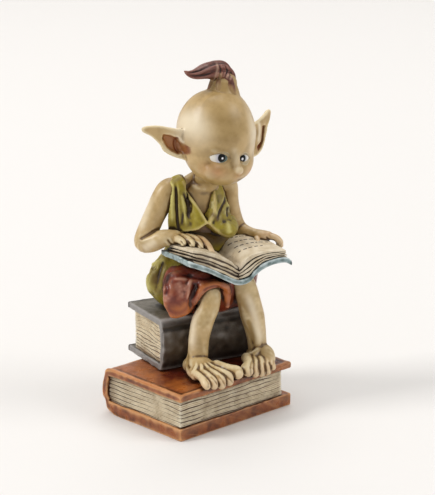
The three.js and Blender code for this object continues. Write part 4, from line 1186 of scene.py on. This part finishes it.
def buildTunic():
    # two stacks rippled by cosines of the angle round them, the upper one cut open, fused with limbs
    # for the sagging bulge and the shoulder's strap
    def folds(angle, z):
        # upright folds, only on the bib's middle heights
        fall = ease(z, 27, 33) * (1 - ease(z, 42, 48))
        return 0.4 * fall * np.cos(9 * angle + 0.6) + 0.15 * fall * np.cos(17 * angle - 0.2 * z)

    def creases(angle, z):
        # slanting folds, only low down on the hips
        low = 1 - ease(z, 16, 24)
        return low * (0.45 * np.cos(9 * angle + 0.15 * z) + 0.15 * np.cos(19 * angle - 0.3 * z))

    bib = stacked([
        [27.2, 0.3, 0.3, 0.3, 1.6, 11.0], [28.0, 8.4, 9.0, 7.0, 1.6, 10.6], [30.0, 11.4, 12.6, 9.0, 1.6, 12.0],
        [34.0, 10.9, 12.6, 8.6, 1.2, 12.8], [40.0, 10.0, 9.6, 7.8, 1.0, 13.0], [44.0, 9.2, 6.6, 6.4, 1.2, 13.2],
        [48.4, 7.6, 3.8, 4.4, 1.6, 13.2], [49.4, 0.3, 0.3, 0.3, 1.6, 13.2]],
        around=300, spacing=0.25, ripple=folds)
    lower = stacked([
        [-0.6, 0.3, 0.3, 0.3, 1.0, 15.0], [0.2, 13.0, 10.0, 9.0, 1.0, 14.6], [4.0, 17.4, 12.0, 11.0, 1.0, 14.4],
        [9.0, 19.6, 12.0, 11.6, 1.2, 14.2], [14.0, 18.4, 11.0, 11.0, 1.4, 14.2], [19.0, 15.0, 10.0, 9.8, 2.0, 14.0],
        [25.0, 12.4, 9.4, 8.6, 2.4, 13.8], [31.0, 9.0, 6.4, 7.0, 2.0, 13.6], [32.0, 0.3, 0.3, 0.3, 2.0, 13.6]],
        around=260, spacing=0.35, ripple=creases)
    bulge = limb([[3.6, 0.4, 31.0, 2.0], [6.4, 0.5, 29.6, 2.6], [9.0, 2.6, 30.0, 2.5], [11.0, 7.0, 31.4, 2.1]])
    strap = limb([[-8.0, 14.0, 48.0, 2.6, 0.8], [-8.6, 10.8, 47.6, 3.0, 0.8], [-8.9, 8.8, 45.6, 2.5, 0.9],
                  [-9.4, 8.2, 41.0, 2.9, 0.9], [-9.9, 8.6, 35.0, 3.4, 1.0], [-9.8, 9.2, 30.0, 3.2, 1.0]],
                 (-0.35, -1, 0.25), around=40)
    mesh = fused("tunic", [moved(bib, cutBib), lower, bulge, strap])
    figure = toFigure(pointsOf(mesh))
    soften(mesh, 0.8 * (figure[:, 0] > 2.0) * (figure[:, 1] < 9) * ease(figure[:, 2], 27, 29), 8)
    # dark lines in the creases, wash deepened as painted shade; painted highlights on the ridges and down the hip;
    # brown painted shade by the knot, along the creases and over the hip
    line = drawnOn(mesh, linesOf(tunicCreases[:3]), 0.30)
    line = np.maximum(line, drawnOn(mesh, linesOf(tunicCreases[3:]), 0.24))
    fold = drawnOn(mesh, linesOf(tunicRidges), 0.6) * (1 - line)
    fold = np.maximum(fold, drawnOn(mesh, linesOf(hipFolds, -1), 0.8))
    fold = np.maximum(fold, 0.8 * drawnOn(mesh, [hipGlow], 1.8))
    brown = 0.8 * drawnOn(mesh, [knotShade], 1.0) + 0.6 * drawnOn(mesh, linesOf(tunicCreases), 0.8)
    brown = brown + sum(0.6 * drawnOn(mesh, lines, width) for width, lines in tunicShades.items())
    carve(mesh, tunicRidges + tunicCreases + hipFolds)
    roughen(mesh, {3.0: 0.14, 1.0: 0.05}, 41)
    points = toFigure(pointsOf(mesh))
    neck, hem = [insideOutline(points[:, [0, 2]], outline) for outline, back in openings.values()]
    # painted highlight on the openings' rolled edges; painted shade inside the openings and in a band at the waist
    rim = np.maximum(hump(neck, -0.5, 0.45), hump(hem, -0.4, 0.35) * (points[:, 2] > 28)) * (points[:, 1] < 9.0)
    shade = (ease(neck, 0.1, 0.5) + ease(hem, 0.1, 0.5)) * (points[:, 2] > 26) * (points[:, 1] < 13)
    shade = shade + hump(points[:, 2], 25.5, 2.6) * (points[:, 1] < 9) * (points[:, 2] < 29)
    masks = {"rim": rim, "shade": np.clip(shade + brown, 0, 1), "line": line * 0.8, "fold": fold}
    return finished(mesh, castPaint("tunic", tunicLook), masks, creaseScale=6.0)


buildTunic()


# Skirt: worn leather over the thighs, a big lobe over the seat's edge, a rolled hem and a tail

# skirt paint: worn and edge are the leather's wear and hem colour; deep is painted shade in the folds' valleys and
# the pocket, and on top, line is wash deepened as painted shade in the creases and hollow is painted shade, nearly
# black, in the hollow under the lobe
skirtLook = {
    "base": (138, 58, 32), "mottle": (104, 36, 20), "pale": (212, 146, 108), "dark": (36, 10, 6),
    "brush": 1.1, "brushMost": 0.65, "wash": 1.5, "contactShade": 1.3, "fleck": 0.3, "grain": 2.5,
    "roughness": 0.24, "bump": 0.08,
    "layers": [("worn", (208, 152, 130), 0.9), ("edge", (190, 110, 54), 0.85), ("deep", (100, 30, 20), 0.85)],
    "top": [("line", (84, 30, 16), 0.7), ("hollow", (40, 18, 10), 0.85)],
}
skirtCreases = [
    (0.35, 0.50, [(190.5, 309.0), (190.5, 299.0), (194.5, 288.0), (199.0, 281.0)]),
    (0.45, 0.40, [(203.0, 291.0), (208.0, 288.0), (216.0, 286.6), (221.0, 289.0)]),
]
skirtFolds = [
    (0.70, 1.0, [(164.0, 297.0), (167.0, 290.0), (165.5, 282.0), (169.0, 273.0)]),
    (-0.60, 0.8, [(191.5, 279.0), (189.0, 288.0), (187.0, 300.0)]),
    (0.50, 1.1, [(199.0, 279.0), (195.5, 287.0), (193.0, 298.0)]),
    (0.60, 0.8, [(178.0, 273.0), (190.0, 276.0), (203.0, 278.0), (216.0, 277.0)]),
    (-0.40, 0.7, [(173.0, 279.0), (181.0, 279.5), (188.0, 280.0)]),
]
skirtLines = {  # places in the picture
    "worn": [[(177.0, 281.0), (180.5, 289.0), (184.0, 299.0)], [(184.0, 283.0), (184.0, 292.0)],
             [(166.0, 293.0), (167.0, 303.0)]],
    "pocket": [[(171.0, 297.0), (173.0, 303.0), (172.0, 309.0)]],
    "edge": [[(164.5, 300.0), (166.0, 314.0), (178.0, 317.0), (188.0, 311.0), (191.0, 298.0)],
             [(197.0, 297.0), (201.0, 288.5), (208.0, 285.0), (217.0, 283.6), (223.0, 286.5)],
             [(223.0, 286.0), (227.0, 294.0), (226.5, 304.0)], [(169.0, 305.0), (180.0, 309.0), (188.0, 302.0)]],
}


def buildSkirt():
    # a stack rippled by a cosine, fused with limbs for the lobe, knee, hem, tail and filling
    body = stacked([
        [-0.4, 0.3, 0.3, 0.3, 2.0, 6.0], [0.2, 14.6, 6.0, 8.0, 2.0, 6.0], [5.0, 18.0, 9.6, 8.0, 2.0, 6.0],
        [11.0, 18.8, 11.2, 8.0, 2.4, 6.0], [15.4, 17.4, 10.6, 8.0, 2.6, 6.0], [17.6, 12.0, 7.0, 7.0, 2.6, 6.0],
        [18.2, 0.3, 0.3, 0.3, 2.6, 6.0]], around=200, ripple=lambda angle, z: 0.5 * np.cos(9 * angle))
    lobe = limb([[-12.6, 1.4, 14.0, 5.4, 3.0], [-14.4, -2.0, 10.6, 6.2, 2.4], [-15.6, -2.8, 6.6, 5.4, 1.9],
                 [-15.2, -3.2, 2.6, 4.0, 1.4]], (-0.3, -1, 0.2), around=40)
    knee = limb([[-5.0, 4.0, 14.8, 6.6, 2.4], [-4.4, -1.5, 14.2, 6.2, 2.2], [-3.8, -5.6, 12.9, 5.6, 1.8]], (0, 0, 1))
    roll = limb([[-10.2, -4.4, 6.6, 1.5], [-8.8, -5.8, 10.2, 1.5], [-6.4, -7.0, 12.4, 1.5], [-2.6, -7.8, 13.0, 1.5],
                 [0.8, -7.6, 11.6, 1.4], [2.2, -6.8, 9.6, 1.3]])
    tail = limb([[0.8, -6.0, 11.6, 2.4, 1.5], [2.2, -6.2, 8.0, 1.7, 1.3], [2.8, -5.6, 3.6, 1.2, 1.0]], (0, 1, 0))
    fill = limb([[-9.8, 3.0, 13.0, 3.0], [-10.0, -2.0, 11.6, 2.8], [-10.4, -3.0, 8.6, 2.4], [-11.0, -2.6, 4.0, 2.0]])
    mesh = fused("skirt", [body, lobe, knee, roll, tail, fill])
    # dark lines in the creases, wash deepened as painted shade; paler wear; painted shade in the folds' valleys
    line = 0.85 * drawnOn(mesh, linesOf(skirtCreases), 0.28)
    worn = 0.8 * drawnOn(mesh, skirtLines["worn"], 1.7) * (0.75 + 0.6 * noise(pointsOf(mesh), 0.8, 8))
    worn = np.maximum(worn, drawnOn(mesh, linesOf(skirtFolds, -1), 0.4))
    deep = drawnOn(mesh, linesOf(skirtFolds, 1), 1.3)
    carve(mesh, skirtFolds + skirtCreases)
    soften(mesh, np.full(len(pointsOf(mesh)), 0.85), 4)
    roughen(mesh, {4.0: 0.28, 1.5: 0.08}, 51)
    edge = drawnOn(mesh, skirtLines["edge"], 1.2)
    figure = toFigure(pointsOf(mesh))
    # painted shade, nearly black, in the hollow under the lobe
    hollow = ease(-figure[:, 0], 14.5, 17.0) * ease(figure[:, 1], -0.5, 2.5) * ease(figure[:, 2], 4.0, 9.0)
    # painted shade in the pocket
    deep = np.clip(deep + 0.7 * drawnOn(mesh, skirtLines["pocket"], 1.5), 0, 1)
    masks = {"worn": np.clip(worn, 0, 1), "edge": edge, "line": line, "deep": deep, "hollow": hollow}
    return finished(mesh, castPaint("skirt", skirtLook), masks, creaseScale=7.0)


buildSkirt()


# Closed books: a cover bent round like a C, and a block of wavy leaves

baseBook = {"length": 55.0, "width": 41.6, "thick": 17.0, "topBoard": 2.7, "underBoard": 4.6, "spineWall": 2.2,
            "bulge": 1.6, "lowRound": 5.0, "highRound": 2.0, "foreInset": 1.2, "tailInset": 1.0, "headInset": 4.0,
            "leaves": 7, "groove": 0.65, "wave": 0.32, "bevel": 0.7}
seatBook = {"length": 42.3, "width": 27.7, "thick": 19.2, "topBoard": 2.5, "underBoard": 2.5, "spineWall": 2.0,
            "bulge": 1.6, "lowRound": 1.6, "highRound": 1.6, "foreInset": 4.0, "tailInset": 3.0, "headInset": 1.0,
            "leaves": 11, "groove": 0.7, "wave": 0.5, "bevel": 0.6}


def slab(outer, inner, low, high, bevel, spacing=0.6, across=0.6):
    # a sheet between two lines in a plane, drawn from low to high along the third axis: each ring is a
    # rounded rectangle, and the sheet's two ends are rounded by the same bevel
    both = np.hstack([np.asarray(outer, float), np.asarray(inner, float)])
    rows = spline(both, evenRun(both, spacing, 2))
    upper, under = rows[:, :2], rows[:, 2:]
    middle, apart = (upper + under) / 2, upper - under
    half = np.linalg.norm(apart, axis=1) / 2
    apart = unitRows(apart)
    tangent = unitRows(np.gradient(middle, axis=0))
    turn = np.linspace(pi / 2, 0, 6)[:-1]
    push = bevel * np.sin(turn)
    shrink = bevel * (1 - np.cos(turn))
    first, last = middle[0] + tangent[0] * bevel, middle[-1] - tangent[-1] * bevel
    keep = (((middle - first) @ tangent[0]) > 0) | (np.arange(len(middle)) > len(middle) // 2)
    keep &= (((middle - last) @ tangent[-1]) < 0) | (np.arange(len(middle)) < len(middle) // 2)
    centre = np.vstack([first - tangent[0] * push[:, None], first, middle[keep], last,
                        last + tangent[-1] * push[::-1, None]])
    normal = np.vstack([np.repeat(apart[:1], 6, 0), apart[keep], np.repeat(apart[-1:], 6, 0)])
    none = np.zeros(1)
    loss = np.concatenate([shrink, none, np.zeros(keep.sum()), none, shrink[::-1]])
    half = np.concatenate([np.full(6, half[0]), half[keep], np.full(6, half[-1])])
    flat = np.linspace(-1, 1, max(int((high - low) / across), 6))
    edge = np.linspace(1, -1, 5)
    arc = np.linspace(0, pi / 2, 5)[1:-1]
    ring = [(t, 1, 0, 1) for t in flat] + [(1, 1, sin(a), cos(a)) for a in arc]
    ring += [(1, t, 1, 0) for t in edge] + [(1, -1, cos(a), -sin(a)) for a in arc]
    ring += [(t, -1, 0, -1) for t in flat[::-1]] + [(-1, -1, -sin(a), -cos(a)) for a in arc]
    ring += [(-1, -t, -1, 0) for t in edge] + [(-1, 1, -cos(a), sin(a)) for a in arc]
    sideW, sideN, cornerW, cornerN = np.array(ring, float).T[:, None, :]
    tall = np.maximum(half - loss, 0.05)[:, None]
    wide = ((high - low) / 2 - loss)[:, None]
    radius = np.minimum(bevel, 0.8 * tall)
    along = (low + high) / 2 + sideW * (wide - radius) + cornerW * radius
    lift = sideN * (tall - radius) + cornerN * radius
    plane = centre[:, None] + normal[:, None] * lift[..., None]
    return tube(np.concatenate([along[..., None], plane], axis=-1))


def coverOf(book):
    # outer and inner lines of the bent cover in the plane across the book, spine at +Y
    front, back, top = -book["width"] / 2, book["width"] / 2, book["thick"]
    under, over, wall = book["underBoard"], book["thick"] - book["topBoard"], book["spineWall"]
    low, high, bulge = book["lowRound"], book["highRound"], book["bulge"]
    outer = [(front, 0), (front * 0.5, 0), (0, 0), (back - low, 0), (back - 0.27 * low, 0.27 * low), (back, low),
             (back + bulge * 0.8, top * 0.36), (back + bulge, top / 2), (back + bulge * 0.8, top * 0.66),
             (back, top - high), (back - 0.27 * high, top - 0.27 * high), (back - high, top), (0, top),
             (front * 0.5, top), (front, top)]
    turn = back - wall
    inner = [(front, under), (front * 0.5, under), (0, under), (turn - 1.2, under), (turn - 0.2, under + 0.2),
             (turn, under + 1.0), (turn + bulge * 0.4, top * 0.40), (turn + bulge * 0.5, top / 2),
             (turn + bulge * 0.4, top * 0.62), (turn, over - 1.0), (turn - 0.2, over - 0.2), (turn - 1.2, over),
             (0, over), (front * 0.5, over), (front, over)]
    return slab(outer, inner, -book["length"] / 2, book["length"] / 2, book["bevel"])


def leavesOf(book, seed):
    # a block whose rings are rounded rectangles; between its leaves each ring draws in by the groove,
    # whose height waves with the place round the block
    low, high = book["underBoard"] - 0.6, book["thick"] - book["topBoard"] + 0.6
    fore, back = -book["width"] / 2 + book["foreInset"], book["width"] / 2 - book["spineWall"] + 0.8
    tail, end = -book["length"] / 2 + book["tailInset"], book["length"] / 2 - book["headInset"]
    z = np.linspace(low, high, int((high - low) / 0.13))[:, None]
    sides = [((tail, back), (tail, fore)), ((tail, fore), (end, fore)), ((end, fore), (end, back)),
             ((end, back), (tail, back))]
    line = []
    for a, b in sides:
        count = int(np.hypot(b[0] - a[0], b[1] - a[1]) / 0.55)
        line.append(np.linspace(a, b, count, endpoint=False))
    line = np.vstack(line)
    middle = np.array([(tail + end) / 2, (fore + back) / 2])
    away = line - middle
    inward = -np.sign(away) * (np.abs(away) > np.abs(np.array([end - tail, back - fore]) / 2) - 1e-6)
    place = np.concatenate([line, np.zeros((len(line), 1))], axis=1)
    pitch = (high - low) / book["leaves"]
    flat = np.broadcast_to(place[None], (len(z), len(line), 3)).copy()
    flat[..., 2] = z
    wave = noise(flat * (0.10, 0.10, 0.3), 1.0, seed) + 0.3 * noise(flat * (0.4, 0.4, 0.3), 1.0, seed + 1)
    phase = (z - low) / pitch + book["wave"] * wave
    leaf = np.floor(phase)
    deep = hump(phase - leaf, 0.5, 0.09) * (0.6 + 0.6 * noise(flat, 7.0, seed + 2))
    thin = hump(np.mod(phase * 3 + 0.3 * noise(flat, 9.0, seed + 4), 1), 0.5, 0.2) * 0.38
    place = np.stack([leaf, np.full_like(leaf, seed), np.zeros_like(leaf)], -1)
    stagger = 0.28 * noise(place + 0.5, 1.0, seed + 3)
    inset = np.maximum(book["groove"] * (deep + thin) + stagger + 0.18, 0)
    flat[..., :2] += inward[None] * inset[..., None]
    return tube(flat)


def onSeat(points):
    # the seat book's spine faces forward, and it lies turned on the lower book
    c, s = cos(radians(sitting["turn"])), sin(radians(sitting["turn"]))
    x, y = -points[..., 0], -points[..., 1]
    return np.stack([c * x - s * y + sitting["shiftX"], s * x + c * y + sitting["shiftY"],
                     points[..., 2] + baseBook["thick"] - 0.2], axis=-1)


# brown leather: glow is a lighter mottle on the top board, border its pale worn rim, and the dark layer painted
# shadow round the feet mixed with dark mottling
leatherLook = {
    "base": (150, 82, 38), "mottle": (92, 40, 18), "pale": (222, 164, 108), "dark": (46, 18, 8),
    "brush": 1.8, "brushMost": 0.8, "wash": 1.5, "washMost": 0.85, "contactShade": 1.3, "fleck": 0.3, "grain": 4.0,
    "roughness": 0.22, "bump": 0.14,
    "layers": [("glow", (182, 104, 42), 0.75), ("shadeAndStain", (84, 20, 12), 0.9), ("border", (206, 146, 100), 0.6)],
}
# grey leather: the spine layer is the spine's darker colour, border the paler ends, and the dark layer painted shade
# along the spine's foot with a darker band along its top edge
greyLook = {
    "base": (112, 106, 96), "mottle": (92, 86, 74), "pale": (186, 182, 178), "dark": (34, 28, 22),
    "brush": 1.6, "brushMost": 0.85, "wash": 1.4, "washMost": 0.85, "contactShade": 1.2, "fleck": 0.4, "grain": 2.2,
    "roughness": 0.36, "bump": 0.16,
    "layers": [("spine", (76, 62, 48), 0.9), ("border", (150, 146, 144), 0.7), ("shadeAndStain", (26, 18, 16), 0.9)],
}
# leaves: the dark layer is painted shade towards the spine, low down, at the gutter and between the layers, with dark
# mottling on the closed books
leafLook = {
    "base": (218, 202, 170), "mottle": (198, 178, 142), "pale": (244, 236, 214), "dark": (92, 62, 36),
    "brush": 1.4, "brushMost": 0.7, "wash": 1.1, "washMost": 0.85, "fleck": 0.3, "grain": 4.0,
    "roughness": 0.45, "bump": 0.05,
    "layers": [("shadeAndStain", (92, 64, 38), 0.8)],
}
creamLook = dict(leafLook, base=(232, 216, 182), mottle=(214, 192, 152), dark=(112, 80, 48))


def buildBaseBook():
    # the top board is worn: a lip near its rim, painted shadow round the feet mixed with dark mottling, and a glow
    # beyond it
    mesh = meshOf("lower_cover", *coverOf(baseBook))
    local = pointsOf(mesh)
    normal = normalsOf(mesh)
    top = (local[:, 2] > baseBook["thick"] - 0.8) * (normal[:, 2] > 0.6)
    rim = np.minimum(baseBook["length"] / 2 - np.abs(local[:, 0]), local[:, 1] + baseBook["width"] / 2)
    lip = top * (0.22 * hump(rim, 1.3, 0.6) - 0.18 * hump(rim, 2.7, 0.5))
    setPoints(mesh, local + np.array([0, 0, 1.0]) * (lip - 0.22)[:, None] * (local[:, 2:] > 8))
    above = (local[:, 2] > 0.3) * 1.0
    lift = above * (0.16 * noise(local, 5.0, 61) + 0.08 * noise(local, 1.6, 62) - 0.16)
    setPoints(mesh, pointsOf(mesh) + normalsOf(mesh) * lift[:, None])
    figure = toFigure(local)
    # painted shadow round the feet on the top board, mixed with dark mottling
    near = hump(figure[:, 1], -5, 9) * ease(figure[:, 0], -28, -14)
    shadeAndStain = top * np.clip(near * 1.2 + 0.4 * noise(local, 4.0, 63) + 0.2 * noise(local, 1.2, 66), 0, 1)
    glow = top * np.clip(0.6 + 0.6 * noise(local, 7.0, 64), 0, 1) * (1 - shadeAndStain)
    border = top * hump(rim, 1.3, 0.7) * (0.7 + 0.3 * noise(local, 1.5, 65))
    finished(mesh, castPaint("brown leather", leatherLook), {"shadeAndStain": shadeAndStain, "glow": glow, "border": border},
             creaseScale=4.0, hollowRounds=12)
    pages = meshOf("lower_pages", *leavesOf(baseBook, 71))
    local = pointsOf(pages)
    # painted shade towards the spine, with dark mottling
    shadeAndStain = np.clip(ease(local[:, 1], 14, 19) + 0.3 * noise(local, 5.0, 72), 0, 1)
    finished(pages, castPaint("grey leaves", leafLook), {"shadeAndStain": shadeAndStain * 0.8}, creaseScale=5.0, hollowRounds=8)


def buildSeatBook():
    # the spine has a ledge along its top edge, painted shade along its foot and a darker band along its top; its ends
    # are paler
    mesh = meshOf("seat_cover", *coverOf(seatBook))
    local = pointsOf(mesh)
    normal = normalsOf(mesh)
    back = seatBook["width"] / 2
    spine = ease(local[:, 1], back - 0.6, back + 0.2)
    ledge = 0.35 * hump(local[:, 2], 17.2, 0.8) - 0.4 * hump(local[:, 2], 15.6, 0.8)
    lift = spine * (ledge + 0.3 * noise(local, 2.6, 81) - 0.25) - 0.12
    lift = lift + 0.14 * noise(local, 3.0, 82) + 0.07 * noise(local, 1.1, 83)
    setPoints(mesh, local + normal * lift[:, None])
    ends = ease(np.abs(local[:, 0]), seatBook["length"] / 2 - 0.9, seatBook["length"] / 2 - 0.2)
    # painted shade along the spine's foot, where the book sits on the lower one, and a darker band along its top edge
    shadeAndStain = spine * (hump(local[:, 2], 1.0, 3.0) + 0.6 * hump(local[:, 2], 17.4, 1.6))
    masks = {"spine": spine * (1 - ends) * np.clip(0.85 + 0.5 * noise(local, 2.0, 84), 0, 1), "border": ends,
             "shadeAndStain": np.clip(shadeAndStain * (1 - ends), 0, 1)}
    setPoints(mesh, onSeat(pointsOf(mesh)))
    finished(mesh, castPaint("grey leather", greyLook), masks, creaseScale=4.0, hollowRounds=12)
    pages = meshOf("seat_pages", *leavesOf(seatBook, 91))
    local = pointsOf(pages)
    # painted shade towards the spine and low down, where the leaves sit on the lower book, with dark mottling
    shadeAndStain = np.clip(ease(local[:, 1], 9, 13) * 0.5 + ease(-local[:, 2], -5, -2) + 0.2 * noise(local, 4.0, 92), 0, 1)
    setPoints(pages, onSeat(local))
    finished(pages, castPaint("cream leaves", creamLook), {"shadeAndStain": shadeAndStain * 0.6}, creaseScale=5.0, hollowRounds=8)


buildBaseBook()
buildSeatBook()


# The open book on the lap: a curved cover, layers of leaves with painted shade in the gaps between them, and rows of
# dashes

openBook = {"middle": 4.2, "near": -12.4, "length": 22.0, "bottom": 13.0, "half": 21.0, "board": 2.0, "margin": 1.0,
            "lift": 2.2, "coverLeft": -0.8, "pageLeft": -3.6, "right": 1.2, "layers": 4,
            "sides": {-1: (-19.2, -0.05), 1: (0.05, 20.3)}}
coverLine = [(-20.4, 9.3), (-11.6, 5.5), (-5.5, 2.1), (0, -0.3), (4.0, 0.2), (6.6, 2.6), (10.9, 4.8), (15.8, 5.6),
             (19.0, 5.5), (21.8, 4.0)]
pageLine = [(-19.0, 15.0), (-15.0, 14.1), (-8.6, 11.8), (-2.4, 8.2), (0, 6.0), (3.9, 9.3), (8.9, 10.4), (14.3, 10.4),
            (20.2, 9.8)]


def lineHeight(line, out):
    # height of the smooth line through those points at each distance out from the gutter
    fine = spline(line, np.linspace(0, 1, 300))
    return np.interp(out, fine[:, 0], fine[:, 1])


def openRise(out, y, left):
    # the far end rises by the lift at the gutter and by other amounts at the edges:
    # rise = (lift + (edge - lift)·|out / half|^1.5) times the way along
    along = (y - openBook["near"]) / openBook["length"]
    edge = np.where(out < 0, left, openBook["right"])
    return (openBook["lift"] + (edge - openBook["lift"]) * np.abs(out / openBook["half"]) ** 1.5) * along


def openPlace(points, left):
    # a slab's (along, out, height) to the figure's frame
    y, out, height = points[..., 0], points[..., 1], points[..., 2]
    rise = openRise(out, y, left)
    return fromFigure(np.stack([out + openBook["middle"], y, height + openBook["bottom"] + rise], axis=-1))


def pageTop(out, share):
    # height of a layer's upper side: a share of the way from the cover's board to the top leaf
    floor = lineHeight(coverLine, out) + openBook["board"]
    return floor + (lineHeight(pageLine, out) - floor) * share


def buildOpenBook():
    # the cover is a slab that follows its line; on each side the layers share out the height between
    # the cover and the top leaf, and a core painted dark as shade shows in the gaps between them
    near, far = openBook["near"], openBook["near"] + openBook["length"]
    over = [(out, height + openBook["board"]) for out, height in coverLine]
    cover = slab(over, coverLine, near, far, 0.5, 0.5, 0.5)
    mesh = meshOf("open_cover", openPlace(cover[0], openBook["coverLeft"]), cover[1])
    roughen(mesh, {2.6: 0.16, 0.9: 0.06}, 101)
    look = {"base": (146, 166, 168), "mottle": (92, 110, 108), "pale": (224, 236, 238), "dark": (30, 36, 34),
            "brush": 1.5, "brushMost": 0.8, "wash": 1.4, "grain": 2.0, "roughness": 0.36, "bump": 0.08}
    finished(mesh, castPaint("blue grey cover", look), creaseScale=5.0, hollowRounds=10)

    shells = []
    count, margin = openBook["layers"], openBook["margin"]
    for side, (first, last) in openBook["sides"].items():
        for k in range(count):
            start, end = k / count, (k + 1) / count
            reach = (0.9 * sin(2.3 * k + side) - 0.4 * k) if side < 0 else (0.4 * sin(1.9 * k) - 0.15 * k)
            edge = (first - reach * 0.6 + 0.3, last) if side < 0 else (first, last + reach * 0.5 - 0.4)
            out = np.linspace(*edge, 16)
            low = pageTop(out, start + 0.05 / count)
            high = pageTop(out, end - 0.28 / count * (k < count - 1))
            inset = margin + 0.5 * (k % 2) + 0.25 * sin(3.1 * k + side)
            shell = slab(np.column_stack([out, high]), np.column_stack([out, low]), near + inset - 0.3,
                         far - inset, 0.22, 0.5, 0.6)
            ripple = 0.20 * noise(shell[0] * (0.0, 0.3, 0.0) + k * 3.7 + side, 1.0, 111) * (k < count - 1)
            ripple = ripple + 0.08 * noise(shell[0] * (0.1, 0.9, 0.0) + k * 5.1, 1.0, 112)
            shell[0][:, 2] += ripple
            shells.append((openPlace(shell[0], openBook["pageLeft"]), shell[1]))
        out = np.linspace(first + 2.2 * (side < 0), last - 0.9 * (side > 0), 16)
        core = slab(np.column_stack([out, pageTop(out, 0.86)]), np.column_stack([out, pageTop(out, -0.1)]),
                    near + margin + 0.7, far - margin - 0.7, 0.3, 0.6, 0.8)
        shells.append((openPlace(core[0], openBook["pageLeft"]), core[1]))
    # the core is painted wholly dark, a sheet of painted shade seen between the layers
    isCore = [k % (count + 1) == count for k in range(len(shells))]
    dark = np.repeat(np.array(isCore, float), [len(shell[0]) for shell in shells])
    points, faces = together(shells)
    mesh = meshOf("open_pages", points, faces)
    figure = toFigure(points)
    out = figure[:, 0] - openBook["middle"]
    top = figure[:, 2] - openBook["bottom"] - openRise(out, figure[:, 1], openBook["pageLeft"])
    depth = lineHeight(pageLine, out) - top
    gutter = hump(out, 0, 1.4)
    # painted shade at the gutter, on the lower layers near the left page's edge, and over the core
    masks = {"shadeAndStain": np.clip(0.45 * gutter + 0.5 * ease(depth, 0.3, 3.0) * (out < -12) + dark, 0, 1)}
    look = dict(leafLook, base=(228, 214, 188), mottle=(206, 188, 156), dark=(58, 36, 22), wash=1.3, washMost=0.95)
    finished(mesh, castPaint("open leaves", look), masks, creaseScale=4.0, hollowRounds=6, hollowScale=0.8)


textRows = {"out": [(4.2, 13.0), (3.4, 17.4), (3.8, 18.4), (3.4, 14.0)], "far": 6.6, "gap": 3.9,
            "dash": 1.2, "space": 0.8, "width": 0.26, "height": 0.09}


def buildText():
    # short flat strokes in rows on the right page, laid on its surface: no letters
    chance = np.random.default_rng(5)
    shells = []
    for row, (start, stop) in enumerate(textRows["out"]):
        y = textRows["far"] - row * textRows["gap"]
        out = start
        while out < stop:
            length = textRows["dash"] * chance.uniform(0.5, 1.6)
            line = np.linspace(out, out + length, 6)
            base = lineHeight(pageLine, line) - 0.05
            shell = slab(np.column_stack([line, base + 0.05 + textRows["height"]]), np.column_stack([line, base]),
                         y - textRows["width"], y + textRows["width"] * chance.uniform(0.3, 1.0), 0.04, 0.25, 0.25)
            shells.append((openPlace(shell[0], openBook["pageLeft"]), shell[1]))
            out += length + textRows["space"] * chance.uniform(0.7, 1.5)
    points, faces = together(shells)
    look = {"base": (52, 38, 30), "mottle": (44, 32, 26), "pale": (66, 50, 40), "dark": (30, 22, 16)}
    finished(meshOf("text_dashes", points, faces), castPaint("brown ink", look))


buildOpenBook()
buildText()


# Floor, light and surroundings

studio = {"floor": (236, 234, 232), "size": 6.0, "curve": 1.2, "lamp": (1.0, 0.985, 0.965),
          "sky": (1.0, 0.995, 0.985, 1.0), "skyStrength": 0.42}
lamps = {  # across the view, towards the viewer, up (metres), size, power
    "left": (-2.1, 0.5, 1.9, 0.9, 36.0),
    "right": (2.0, 0.3, 1.8, 1.3, 19.0),
    "above": (-0.2, -0.6, 2.8, 1.6, 20.0),
    "behind": (0.0, -1.9, 2.2, 1.6, 14.0),
}


def addLight(name, across, towards, lift, size, power):
    # a lamp placed by the view's own directions and aimed at the figure, or straight down from behind it
    lamp = bpy.data.lights.new(name, "AREA")
    lamp.size = size
    lamp.energy = power
    lamp.color = studio["lamp"]
    light = bpy.data.objects.new(name, lamp)
    back, right = viewAxes()[:2]
    place = right * across + unitRows(np.array([back[0], back[1], 0.0])) * towards + np.array([0, 0, lift])
    light.location = place
    aim = Vector((0, 0, 0.06)) - Vector(place) if towards > -1.5 else Vector((0, 0, -1))
    light.rotation_mode = "QUATERNION"
    light.rotation_quaternion = aim.to_track_quat("-Z", "Y")
    bpy.context.scene.collection.objects.link(light)


def addStudio():
    # the floor runs back and curves up into a wall: y, z follow a quarter circle between them
    turn = np.linspace(0, pi / 2, 24)
    reach, radius = studio["size"], studio["curve"]
    profile = [(-reach, 0.0)] + [(reach / 2 + radius * sin(a), radius * (1 - cos(a))) for a in turn]
    profile.append((reach / 2 + radius, reach))
    back = viewAxes()[0]
    ahead = unitRows(np.array([[-back[0], -back[1], 0.0]]))[0]
    side = np.array([-ahead[1], ahead[0], 0.0])
    rows = [ahead * y + side * x * reach + np.array([0, 0, z]) for y, z in profile for x in (1, -1)]
    index = np.arange(len(rows)).reshape(-1, 2)
    quads = np.stack([index[:-1, 0], index[1:, 0], index[1:, 1], index[:-1, 1]], axis=-1)
    mesh = bpy.data.meshes.new("floor")
    mesh.from_pydata([tuple(row) for row in rows], [], quads.tolist())
    mesh.shade_smooth()
    floor = bpy.data.objects.new("floor", mesh)
    bpy.context.scene.collection.objects.link(floor)
    paint = Paint("floor")
    mesh.materials.append(paint.coat(studio["floor"], 0.9, specular=0.1))
    world = bpy.data.worlds.new("studio")
    world.use_nodes = True
    sky = world.node_tree.nodes["Background"]
    sky.inputs["Color"].default_value = studio["sky"]
    sky.inputs["Strength"].default_value = studio["skyStrength"]
    bpy.context.scene.world = world
    for name, values in lamps.items():
        addLight(name, *values)
    bpy.context.scene.view_settings.view_transform = "Standard"


addStudio()
addCrowding()
print("crowding added")
